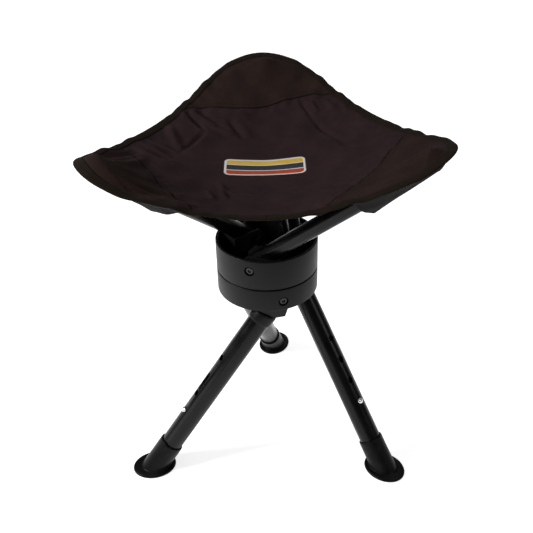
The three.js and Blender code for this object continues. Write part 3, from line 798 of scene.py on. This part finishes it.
def make_leg_tubes(n):
    at = leg_frame(n)
    inner = lathe(tube_profile(TUBE_RADIUS, TUBE_WALL, *INNER_TUBE), 72, at)
    drilled(inner, [pivot_drill(at), hole_cutter(BUTTON_PLACE, at)])
    stand_in(inner, n, "inner_tube", "black_tube", "leg", "leg_inner_tube")
    outer = lathe(tube_profile(OUTER_RADIUS, OUTER_WALL, *OUTER_TUBE), 96, at)
    drilled(outer, [hole_cutter(place, at) for place in HOLE_PLACES])
    stand_in(outer, n, "outer_tube", "black_tube", "leg_slider", "leg_outer_tube")


def make_collar(n):
    """The plastic collar that lines and covers the outer tube's top, dimpled where it is pinned."""
    at = leg_frame(n)
    start, end = COLLAR
    inner, slot = TUBE_RADIUS + 0.4, OUTER_RADIUS + 0.3
    insert = OUTER_RADIUS - OUTER_WALL - 0.3
    slot_top = OUTER_TUBE[0] - 0.3
    profile = [
        (inner, start + 0.4), (inner + 0.4, start), (12.4, start), (13.2, start + 0.25),
        (14.0, start + 0.9), (14.5, start + 1.8), (14.6, start + 2.8), (14.6, end - 1.6),
        (14.45, end - 0.7), (14.1, end - 0.1), (13.6, end), (slot, end), (slot, slot_top),
        (insert, slot_top), (insert, end + 6), (inner, end + 6),
    ]
    dimple = [(0, 13.6), (1.2, 13.7), (2.0, 14.1), (2.4, 14.9), (0, 14.9)]
    place = Matrix.Translation((0, 0, (start + end) / 2 * MM))
    dimples = []
    for side in (0, math.pi):
        turn = Matrix.Rotation(side, 4, "Z") @ Matrix.Rotation(-math.pi / 2, 4, "Y")
        dimples.append(lathe(dimple, 32, at @ place @ turn))
    collar = combine(lathe(profile, 96, at), dimples, "DIFFERENCE")
    stand_in(smooth(collar, 28), n, "collar", "fitting_plastic", "leg_slider", "leg_collar")


def make_foot(n):
    """A rubber foot: a sleeve on the leg that flares into an oval sole flat on the floor."""
    at = leg_frame(n)
    sole_at = level_frame(at, at @ Vector((0, 0, LEG_LENGTH * MM)))
    sole_at.translation.z = 0
    lean = math.acos(-at.col[2].z)
    stretch = Matrix.Diagonal((1 / math.cos(lean), 1, 1, 1))
    sleeve = lathe([
        (0, FOOT_START + 1.4), (13.0, FOOT_START + 1.4), (13.25, FOOT_START + 0.3), (13.6, FOOT_START),
        (14.2, FOOT_START + 0.3), (14.6, FOOT_START + 1.2), (14.7, LEG_LENGTH - 20),
        (14.9, LEG_LENGTH - 8), (15.3, LEG_LENGTH + 14), (0, LEG_LENGTH + 14),
    ], 72, at)
    underground = prism([(-60, -60), (60, -60), (60, 1), (-60, 1)], -60, 60, sole_at)
    combine(sleeve, [underground], "DIFFERENCE")
    half = SOLE_HALF_WIDTH
    sole = lathe([
        (0, 0), (half - 1.4, 0), (half - 0.4, 0.3), (half, 1.1), (half - 0.05, 2.2), (half - 0.6, 3.1),
        (half - 1.8, 3.6), (half - 4.4, 3.95), (0, 4),
    ], 96, sole_at @ stretch)
    foot = combine(sleeve, [sole], "UNION")
    rounded(foot, 0.75 * MM, 4)
    for vertex in foot.data.vertices:
        vertex.co.z = max(vertex.co.z, 0)
    stand_in(smooth(foot, 80), n, "foot", "foot_rubber", "leg_slider", "foot")


def dome(radius, start, rise, degrees):
    """The (radius, height) points up a rounded end."""
    return [(radius * math.cos(a), start + rise * math.sin(a)) for a in np.radians(degrees)]


def make_button(n):
    top = dome(3.4, 13.4, 1.8, (0, 15, 30, 45, 60, 75))
    profile = [(0, 5), (4.6, 5), (4.6, 6.2), (3.4, 6.2), *top, (0, 15.2)]
    button = lathe(profile, 48, leg_frame(n) @ on_upper_face(BUTTON_PLACE))
    stand_in(smooth(button, 40), n, "button", "bright_steel", "button", "snap_button")


def make_arm(n):
    at = arm_frame(n)
    tube = lathe(tube_profile(TUBE_RADIUS, TUBE_WALL, *ARM_TUBE), 72, at)
    stand_in(drilled(tube, [pivot_drill(at)]), n, "arm_tube", "black_tube", "arm", "arm_tube")
    inside = TUBE_RADIUS - TUBE_WALL - 0.3
    start = ARM_TUBE[1] + 0.3
    top = dome(9.5, start + 1, 3.9, (0, 12, 25, 40, 58, 76))
    profile = [(0, start - 14), (inside, start - 14), (inside, start), (9.4, start), *top, (0, start + 4.9)]
    stand_in(smooth(lathe(profile, 56, at), 35), n, "arm_cap", "fitting_plastic", "arm", "arm_end_cap")


# ---- the seat's surface, in millimetres from the hub's axis ----
SEAT_CENTRE_HEIGHT = 366
TIP_RADIUS = 202
TIP_HEIGHTS = (415, 423, 427)  # corner by corner: front left, front right, back
CORNER_RADII = (68, 68, 80)
SIDE_RADII = (138, 145, 146)  # side by side: front, back right, back left
SIDE_HEIGHTS = (380.2, 394, 386.5)
ARM_SIDEWAYS = ARM_PIVOT[1]
ARM_REACH = 177  # where the top of the arm's end is, out from its pivot
SIXTH_TURN = math.pi / 3
CLOTH = 0.8
TAPE_WIDTH = 10

CORNER_AZIMUTHS = [azimuth + math.asin(ARM_SIDEWAYS / TIP_RADIUS) for azimuth in ARM_AZIMUTHS]


def corner_of(x, y):
    """Each point's nearest corner, its side, and its angle from the corner's direction."""
    turn = np.mod(np.arctan2(y, x) - CORNER_AZIMUTHS[0], 2 * math.pi)
    sixth = np.minimum((turn // SIXTH_TURN).astype(int), 5)
    corner = ((sixth + 1) // 2) % 3
    angle = np.abs(turn - np.round(turn / (2 * SIXTH_TURN)) * 2 * SIXTH_TURN)
    return corner, sixth // 2, angle


def arc_reach(x, y, radius, angle):
    """From the axis to a circle round (x, y), in a direction."""
    along = x * np.cos(angle) + y * np.sin(angle)
    return along + np.sqrt(np.maximum(along**2 - x**2 - y**2 + radius**2, 0))


def hem_radius(corner, side, angle):
    """A corner's arc, and the side's longer arc that runs on from it."""
    round_off = np.take(CORNER_RADII, corner)
    middle = np.take(SIDE_RADII, side)
    tip, rise = TIP_RADIUS - round_off, middle - round_off
    back = (tip**2 - rise**2) / (2 * rise - tip)
    cx, cy = -back * math.cos(SIXTH_TURN), -back * math.sin(SIXTH_TURN)
    join = np.arctan2(-cy, tip - cx)
    join_angle = np.arctan2(round_off * np.sin(join), tip + round_off * np.cos(join))
    near = arc_reach(tip, 0 * tip, round_off, angle)
    far = arc_reach(cx, cy, middle + back, angle)
    return np.where(angle < join_angle, near, far)


def blended_top(first, second, ease):
    """The higher of two surfaces, eased where they meet."""
    return (first + second + np.sqrt((first - second) ** 2 + ease**2)) / 2


def arm_ridge(x, y, azimuth):
    """The cloth's height where an arm holds it up."""
    out = x * math.cos(azimuth) + y * math.sin(azimuth)
    across = y * math.cos(azimuth) - x * math.sin(azimuth) - ARM_SIDEWAYS
    cover = (TUBE_RADIUS + 1.6) / math.cos(ARM_RISE)
    top = ARM_PIVOT[2] + np.minimum(out, ARM_REACH) * math.tan(ARM_RISE) + cover
    beyond = np.maximum(out - ARM_REACH, 0)
    ease, slope = 8, 0.62
    fall = np.sqrt(across**2 + (1.1 * beyond) ** 2 + ease**2) - ease
    return top - slope * fall


def fold(x, y, start, end, height, width):
    """A long fold from one place to another, with a hollow either side, fading at its ends."""
    (x0, y0), (x1, y1) = start, end
    length = math.hypot(x1 - x0, y1 - y0)
    along = ((x - x0) * (x1 - x0) + (y - y0) * (y1 - y0)) / length**2
    across = ((y - y0) * (x1 - x0) - (x - x0) * (y1 - y0)) / length
    spread = (across / width) ** 2
    fade = np.sin(np.pi * np.clip(along, 0, 1)) ** 0.7
    return height * (1 - 1.1 * spread) * np.exp(-spread) * fade


def at_corner(corner, out, left):
    """A place out along a corner's direction and to its left."""
    azimuth = CORNER_AZIMUTHS[corner]
    return (
        out * math.cos(azimuth) - left * math.sin(azimuth),
        out * math.sin(azimuth) + left * math.cos(azimuth),
    )


# each fold: corner, then its start and end as (out, left) from the hub's axis, height and width
FOLDS = (
    (0, (187, -3), (112, -52), 4.2, 7),
    (0, (170, -46), (112, -70), -3.6, 8),
    (0, (188, 6), (120, 6), -4.0, 5.5),
    (0, (184, 14), (156, 44), 3.6, 6),
    (0, (184, 9), (140, 32), -3.2, 4.5),
    (0, (158, 22), (112, 66), -3.6, 6),
    (0, (170, 42), (112, 80), 2.2, 6),
    (0, (92, -102), (70, -64), 2.6, 4.5),
    (0, (104, -90), (82, -56), 2.4, 4.5),
    (0, (116, -80), (97, -52), 2.0, 4),
    (0, (84, 24), (92, 58), 1.8, 4.5),
    (0, (58, 4), (80, 60), 2.2, 4.5),
    (0, (67, 22), (62, 56), 1.7, 4),
    (1, (190, 20), (140, 0), 3.2, 7),
    (1, (182, 42), (120, 58), -3.4, 9),
    (1, (176, -16), (112, -40), 2.0, 7),
    (1, (110, -30), (62, -52), 1.8, 7),
    (1, (112, 66), (60, 50), -1.9, 6),
    (1, (104, 20), (66, 34), 1.6, 7),
    (2, (114, 92), (74, 65), -2.6, 4),
    (2, (76, 66), (22, 92), -2.2, 4.5),
    (2, (84, 110), (28, 92), 3.0, 7),
    (2, (110, 86), (84, 54), 3.4, 6),
    (2, (84, 60), (68, 34), 2.6, 5),
    (2, (112, 64), (104, 14), 2.0, 7),
    (2, (100, 40), (62, 22), -3.4, 6.5),
    (2, (130, -43), (86, -58), -2.5, 4.5),
    (2, (92, -55), (42, -81), -2.4, 4.5),
    (2, (52, -78), (12, -96), -1.8, 5),
    (2, (124, -72), (98, -84), 2.2, 4.5),
    (2, (116, -92), (88, -98), 2.2, 4.5),
    (2, (122, -56), (100, -64), 1.8, 4),
    (2, (150, 20), (196, 60), 1.5, 9),
    (2, (150, -34), (190, -60), 1.5, 9),
)
# broad unevenness of slack cloth: wavelength, direction, phase and height
SLACK = ((61, 0.4, 0.3, 0.8), (43, 1.7, 1.9, 0.6), (34, 2.8, 4.1, 0.42), (23, 0.9, 2.2, 0.24))
# each corner's seam: how far out it crosses the corner's middle, its slant, and its wander's phase
SEAMS = ((126, 0.0, 0.0), (122, 0.1, 2.0), (121, -0.1, 4.1))


def seam_out(corner, left):
    """How far out a corner's seam is, beside the corner's middle line."""
    reach, slant, phase = (np.take(values, corner) for values in zip(*SEAMS))
    return reach + slant * left + 3 * np.sin(left / 19 + phase)


def beside_corner(x, y):
    """Each point's nearest corner, and how far out and left of its middle line the point is."""
    corner = corner_of(x, y)[0]
    azimuth = np.take(CORNER_AZIMUTHS, corner)
    out = x * np.cos(azimuth) + y * np.sin(azimuth)
    left = y * np.cos(azimuth) - x * np.sin(azimuth)
    return corner, out, left


def seam_distance(x, y):
    """How far a point is beyond its corner's seam; negative on the seat's middle."""
    corner, out, left = beside_corner(x, y)
    return out - seam_out(corner, left)


def puckers(x, y):
    """Short gathers along the inner side of each corner seam."""
    corner, out, left = beside_corner(x, y)
    gap = out - seam_out(corner, left)
    wave = np.sin(left / 2.4 + 2 * np.sin(left / 17) + corner)
    strength = 0.5 + 0.35 * np.sin(left / 21 + 2 * corner)
    return strength * wave * np.exp(-((gap + 5) / 6) ** 2)


def hem_waves(corner, side, angle, share):
    """The bound edge's own small ups and downs."""
    along = angle * (1 + 0.2 * corner) * 9
    wave = np.sin(along * 2.1 + 1.3 * corner) + 0.6 * np.sin(along * 4.7 + side)
    return 1.1 * wave * np.sin(3 * angle) ** 2 * share**6


def sling_height(corner, side, angle, share):
    """The sling's own sag between its corners, without folds."""
    sideways = (1 - np.cos(3 * angle)) / 2
    dip = 1.8 * sideways / (sideways + 0.8)
    tip = np.take(TIP_HEIGHTS, corner)
    hem = tip + (np.take(SIDE_HEIGHTS, side) - tip) * dip
    over_arm = (1 - np.cos(math.pi * np.minimum(share, 1) ** 1.7)) / 2
    bowl = share**1.6
    rise = (1 - sideways) * (0.6 * over_arm + 0.4 * bowl) + sideways * bowl
    return SEAT_CENTRE_HEIGHT + (hem - SEAT_CENTRE_HEIGHT) * rise


def crumples(x, y):
    """The gathers, folds and slack together."""
    height = puckers(x, y)
    for n, start, end, size, width in FOLDS:
        height = height + fold(x, y, at_corner(n, *start), at_corner(n, *end), size, width)
    for wavelength, direction, phase, size in SLACK:
        out = x * math.cos(direction) + y * math.sin(direction)
        height = height + size * np.sin(2 * math.pi * out / wavelength + phase + np.sin(y / 31))
    return height


def seat_height(x, y):
    corner, side, angle = corner_of(x, y)
    share = np.minimum(np.hypot(x, y) / hem_radius(corner, side, angle), 1.05)
    inside_hem = np.clip((1 - share) / 0.12, 0, 1)
    off_patch = np.clip(np.hypot(x / 62, y / 40) - 0.75, 0, 1)
    height = sling_height(corner, side, angle, share)
    height = height + crumples(x, y) * inside_hem * off_patch + hem_waves(corner, side, angle, share)
    for azimuth in ARM_AZIMUTHS:
        height = blended_top(height, arm_ridge(x, y, azimuth), 4)
    return height


def seat_normals(x, y):
    step = 0.6
    slope_x = (seat_height(x + step, y) - seat_height(x - step, y)) / (2 * step)
    slope_y = (seat_height(x, y + step) - seat_height(x, y - step)) / (2 * step)
    normals = np.stack([-slope_x, -slope_y, np.ones_like(slope_x)], -1)
    return normals / np.linalg.norm(normals, axis=-1, keepdims=True)


def seat_points(x, y):
    """The seat at (x, y): places and normals."""
    return np.stack([x, y, seat_height(x, y)], -1), seat_normals(x, y)


def on_seat(share, azimuth):
    """The seat at shares of the way to the hem."""
    x, y = np.cos(azimuth), np.sin(azimuth)
    reach = hem_radius(*corner_of(x, y)) * share
    return seat_points(x * reach, y * reach)


# ---- sheets of cloth ----
def in_row_frame(points):
    """Millimetres from the hub's axis to metres in the frame."""
    return np.asarray(points) * MM + np.array([HUB_AXIS.x, HUB_AXIS.y, 0])


def grid_faces(rows, columns):
    index = np.arange(rows * columns).reshape(rows, columns)
    return np.stack([index[:-1, :-1], index[1:, :-1], index[1:, 1:], index[:-1, 1:]], -1).reshape(-1, 4)


def rim_faces(top, bottom):
    """A band between two loops of the same length."""
    return np.stack([top, bottom, np.roll(bottom, -1), np.roll(top, -1)], -1)


def border(rows, columns):
    index = np.arange(rows * columns).reshape(rows, columns)
    return np.concatenate([index[0, :-1], index[:-1, -1], index[-1, :0:-1], index[:0:-1, 0]])


def store_flat(mesh, flat):
    """Keeps each point's place on the flat cloth, from millimetres, for the weave."""
    places = np.zeros((len(flat), 3))
    places[:, :2] = flat * MM
    mesh.attributes.new("flat", "FLOAT_VECTOR", "POINT").data.foreach_set("vector", places.ravel())


def shade_sheet(mesh, normals, loops, rim_face):
    """Shades a closed sheet with its own smooth normals, and keeps its rim crisp."""
    rims = {frozenset(pair) for edge in loops for pair in zip(edge, np.roll(edge, -1))}
    for edge in mesh.edges:
        edge.use_edge_sharp = frozenset(edge.vertices) in rims
    corner_points = np.zeros(len(mesh.loops), int)
    mesh.loops.foreach_get("vertex_index", corner_points)
    wanted = np.concatenate([normals.reshape(-1, 3), -normals.reshape(-1, 3)])[corner_points]
    wanted[mesh.polygons[rim_face].loop_start:] = 0
    mesh.normals_split_custom_set(wanted.tolist())


def closed_sheet(name, middle, normals, flat, seam=None):
    """A solid sheet of cloth round a grid of points, with its flat places for the weave."""
    rows, columns = middle.shape[:2]
    count = rows * columns
    half = normals * CLOTH / 2
    top, bottom = middle + half, middle - half
    loop = border(rows, columns)
    upper = grid_faces(rows, columns)
    faces = np.concatenate([upper, upper[:, ::-1] + count, rim_faces(loop, loop + count)])
    points = np.concatenate([top.reshape(-1, 3), bottom.reshape(-1, 3)])
    made = new_object(name, in_row_frame(points), faces.tolist())
    mesh = made.data
    store_flat(mesh, np.tile(flat.reshape(-1, 2), (2, 1)))
    values = {"upper": np.repeat([1.0, 0.0], count)}
    if seam is not None:
        values["seam"] = np.tile(seam.ravel(), 2) * MM
    for key, value in values.items():
        mesh.attributes.new(key, "FLOAT", "POINT").data.foreach_set("value", value)
    mesh.shade_smooth()
    face = mesh.polygons[(rows // 2) * (columns - 1) + columns // 2]
    if face.normal.dot(Vector((top - bottom).reshape(-1, 3)[face.vertices[0]])) < 0:
        mesh.flip_normals()
    shade_sheet(mesh, normals, (loop, loop + count), 2 * len(upper))
    return made


STITCH_HALF = (1.25, 0.3, 0.24)  # half a stitch's length, width and thickness
STITCH_PITCH = 3.4


def tufts(places, along, normals):
    """Stitches: small rounded threads lying on the cloth, one at each place."""
    rings, sides = ((-0.7, 0.75), (0, 1), (0.7, 0.75)), 6
    length, width, thick = STITCH_HALF
    points, faces = [], []
    for place, forward, left, up in zip(places, along, np.cross(normals, along), normals):
        start = len(points)
        for reach, fat in rings:
            for i in range(sides):
                angle = 2 * math.pi * i / sides
                points.append(place + forward * length * reach
                              + left * width * fat * math.cos(angle)
                              + up * thick * fat * math.sin(angle))
        low = len(points)
        points += [place - forward * length, place + forward * length]
        for i in range(sides):
            a, b = start + i, start + (i + 1) % sides
            for row in (0, sides):
                faces.append((a + row, b + row, b + row + sides, a + row + sides))
            faces.append((low, b, a))
            faces.append((low + 1, a + 2 * sides, b + 2 * sides))
    made = new_object("stitches", in_row_frame(points), faces)
    made.data.shade_smooth()
    return made


def evenly(points, pitch):
    """Indices along a dense line of points, one each pitch."""
    steps = np.linalg.norm(np.diff(points, axis=0), axis=1)
    travelled = np.concatenate([[0], np.cumsum(steps)])
    return np.searchsorted(travelled, np.arange(pitch / 2, travelled[-1], pitch))


def stitch_line(points, normals, lift):
    chosen = np.clip(evenly(points, STITCH_PITCH), 1, len(points) - 2)
    along = points[chosen + 1] - points[chosen - 1]
    along /= np.linalg.norm(along, axis=1, keepdims=True)
    return tufts(points[chosen] + normals[chosen] * lift, along, normals[chosen])


# ---- the seat's pieces ----
TAPE_POINTS = 120
TAPE_HALF = CLOTH / 2 + 0.75
HEM_STITCH_INSET = TAPE_WIDTH - 1.7


def half_corner(n, side, count):
    """Azimuths from a corner to the middle of its side."""
    return CORNER_AZIMUTHS[n - 1] + side * SIXTH_TURN * np.linspace(0, 1, count)


def hem_reach(angles):
    """From the hub's axis to the hem, in each direction."""
    edge, _ = on_seat(np.ones(len(angles)), angles)
    return np.hypot(edge[:, 0], edge[:, 1])


def joined(name, pieces):
    """Several meshes as one."""
    with bpy.context.temp_override(active_object=pieces[0], selected_editable_objects=pieces):
        bpy.ops.object.join()
    pieces[0].name = name
    return pieces[0]


def follow(piece, body):
    """Rides on its body, with its own copy of its mesh."""
    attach(piece, body)
    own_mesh(piece)


def seat_panel(n, word, side):
    shares, angles = np.meshgrid(np.linspace(0.004, 1, 96), half_corner(n, side, 64), indexing="ij")
    points, normals = on_seat(shares, angles)
    top = points + normals * CLOTH / 2
    seam = seam_distance(points[..., 0], points[..., 1])
    panel = closed_sheet(f"seat_cloth_{word}_{n}", points, normals, top[..., :2], seam)
    panel.data.materials.append(MATERIALS["seat_fabric"])
    return panel


def hem_tape(n, word, side):
    """The folded tape that binds the hem: over the top, round the edge and under."""
    angles = half_corner(n, side, TAPE_POINTS)
    reach = hem_reach(angles)
    out = np.stack([np.cos(angles), np.sin(angles), 0 * angles], -1)
    # (inset from the hem, height as a share of the tape's half thickness)
    section = [(TAPE_WIDTH, 0.5), (TAPE_WIDTH - 0.5, 0.92), (TAPE_WIDTH - 1.2, 1), (7, 1.12), (5, 1.2),
               (3, 1.15), (1.2, 1.05), (0.2, 0.85), (-0.5, 0.45), (-0.75, 0)]
    section += [(inset, -height) for inset, height in section[-2::-1]]
    rows, flats = [], []
    for inset, height in section:
        points, normals = on_seat(1 - max(inset, 0) / reach, angles)
        rows.append(points + out * max(-inset, 0) + normals * height * TAPE_HALF)
        across = inset + 40.0 * (height < 0)  # the underside is another stretch of the tape
        flats.append(np.stack([angles * 180, np.full(TAPE_POINTS, across)], -1))
    tape = swept_skin(f"hem_tape_{word}_{n}", np.array(rows), np.array(flats))
    tape.data.materials.append(HEM_TAPE)
    return tape


def swept_skin(name, rows, flat):
    """A closed skin round a section swept along a line, with its two ends filled."""
    count, length = rows.shape[:2]
    index = np.arange(count * length).reshape(count, length)
    nexts = np.roll(index, -1, axis=0)
    faces = np.stack([index[:, :-1], nexts[:, :-1], nexts[:, 1:], index[:, 1:]], -1).reshape(-1, 4).tolist()
    faces += [index[:, 0].tolist(), index[::-1, -1].tolist()]
    made = new_object(name, in_row_frame(rows.reshape(-1, 3)), faces)
    store_flat(made.data, flat.reshape(-1, 2))
    for face in made.data.polygons:
        face.use_smooth = len(face.vertices) == 4
    return outward(made)


def hem_stitches(n, side):
    """A row of stitches along the tape, above and below."""
    angles = half_corner(n, side, 600)
    points, normals = on_seat(1 - HEM_STITCH_INSET / hem_reach(angles), angles)
    return [stitch_line(points, normals * face, 1.2) for face in (1, -1)]


def seam_stitches(n, side):
    """Two rows of stitches along the corner seam, from the corner's middle to the hem."""
    lines = []
    for offset in (1.6, 5.6):
        left = np.linspace(0, 130, 800) * side
        out = seam_out(n - 1, left) + offset
        x, y = at_corner(n - 1, out, left)
        inside = np.hypot(x, y) < hem_radius(*corner_of(x, y)) - TAPE_WIDTH
        lines.append(stitch_line(*seat_points(x[inside], y[inside]), CLOTH / 2 + 0.1))
    return lines


def make_half_corner(n, word, side):
    panel = seat_panel(n, word, side)
    tape = hem_tape(n, word, side)
    stitches = joined(f"stitches_{word}_{n}", hem_stitches(n, side) + seam_stitches(n, side))
    stitches.data.materials.append(THREAD)
    for piece in (panel, tape, stitches):
        follow(piece, f"seat_{word}_{n}")
    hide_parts(f"seat_panel_{word}_{n}")


# ---- the pocket under each corner that the arm's end sits in ----
POCKET_START = 134
POCKET_ARM_END = 190
POCKET_END = 197
POCKET_DROOP = 7  # how far its free edge hangs below the arm
POCKET_ROWS, POCKET_COLUMNS = 44, 56
POCKET_CURL = 9  # how widely it wraps round the arm


def pocket_row(corner, out):
    """One line of the pocket's cloth at a distance out, from hem to hem round the arm's underside."""
    turn = ARM_AZIMUTHS[corner] - CORNER_AZIMUTHS[corner]
    along = (min(out, POCKET_ARM_END) + ARM_SIDEWAYS * math.sin(turn)) / math.cos(turn)
    arm_left = along * math.sin(turn) + ARM_SIDEWAYS * math.cos(turn)
    arm_height = ARM_PIVOT[2] + along * math.tan(ARM_RISE)
    closing = max(0, (out - POCKET_ARM_END) / (POCKET_END - POCKET_ARM_END)) ** 1.5
    free = 1 - min(1, (out - POCKET_START) / (POCKET_ARM_END - POCKET_START))
    bottom = arm_height - (TUBE_RADIUS + 1.8) / math.cos(ARM_RISE) - POCKET_DROOP * free**1.3
    spans = [hem_span(corner, out, side) for side in (-1, 1)]
    row = []
    for share in np.linspace(-1, 1, POCKET_COLUMNS):
        edge_left, edge_height = spans[int(share > 0)]
        far = abs(share)
        whole = abs(edge_left - arm_left)
        climb = curl(whole * far) / max(curl(whole), 1e-6)
        sag = 2.5 * free * math.sin(math.pi * far)
        crinkle = 0.8 * math.sin(9 * far + out / 9) * (1 - far) * far * 4
        height = bottom + (edge_height - bottom) * climb - (sag + crinkle)
        height = height * (1 - closing) + edge_height * closing
        left = arm_left + (edge_left - arm_left) * far
        row.append((*at_corner(corner, out, left), height))
    return row


def curl(reach):
    return math.hypot(reach, POCKET_CURL) - POCKET_CURL


def hem_span(corner, out, side):
    """Where a pocket meets the hem at a distance out: how far left, and how high."""
    low, high = 0.0, float(TIP_RADIUS)
    for _ in range(30):
        middle = (low + high) / 2
        x, y = at_corner(corner, out, side * middle)
        inside = math.hypot(x, y) < hem_radius(*corner_of(x, y)) - 3.5
        low, high = (middle, high) if inside else (low, middle)
    x, y = at_corner(corner, out, side * low)
    return side * low, float(seat_height(x, y)) - 1.6


def sheet_normals(points):
    down, across = np.gradient(points, axis=0), np.gradient(points, axis=1)
    normals = np.cross(down, across)
    return normals / np.maximum(np.linalg.norm(normals, axis=-1, keepdims=True), 1e-9)


def make_pocket(n):
    outs = np.linspace(POCKET_START, POCKET_END, POCKET_ROWS)
    points = np.array([pocket_row(n - 1, out) for out in outs])
    steps = np.linalg.norm(np.diff(points, axis=1), axis=2)
    across = np.concatenate([np.zeros((len(points), 1)), np.cumsum(steps, axis=1)], axis=1)
    flat = np.stack([across, outs[:, None] * 1.25 + 0 * across], -1)
    pocket = closed_sheet(f"corner_pocket_{n}", points, sheet_normals(points), flat)
    pocket.data.materials.append(POCKET_CLOTH)
    follow(pocket, f"arm_{n}")
    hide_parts(f"seat_pocket_{n}")


# ---- CAD nodes that keep their own shape ----
KEPT_NODES = {
    "black_screw": ("centre_bolt", "centre_nut", "leg_pivot_nut", "arm_pivot_nut"),
    "nylon": ("swivel_washer",),
    "fitting_plastic": ("leg_pivot_plug", "arm_pivot_plug", "guide_bush"),
    "bright_steel": ("button_spring",),
}


def paint_kept_nodes():
    for slot, stems in KEPT_NODES.items():
        for name, node in frame["nodes"].items():
            if name.rstrip("_123") in stems:
                node.data.materials.clear()
                node.data.materials.append(MATERIALS[slot])


def main():
    make_camera()
    make_studio()
    paint_kept_nodes()
    make_hubs()
    for n in LIMBS:
        make_leg_tubes(n)
        make_collar(n)
        make_foot(n)
        make_button(n)
        make_arm(n)
        make_pocket(n)
        for word, side in SIDES:
            make_half_corner(n, word, side)


main()
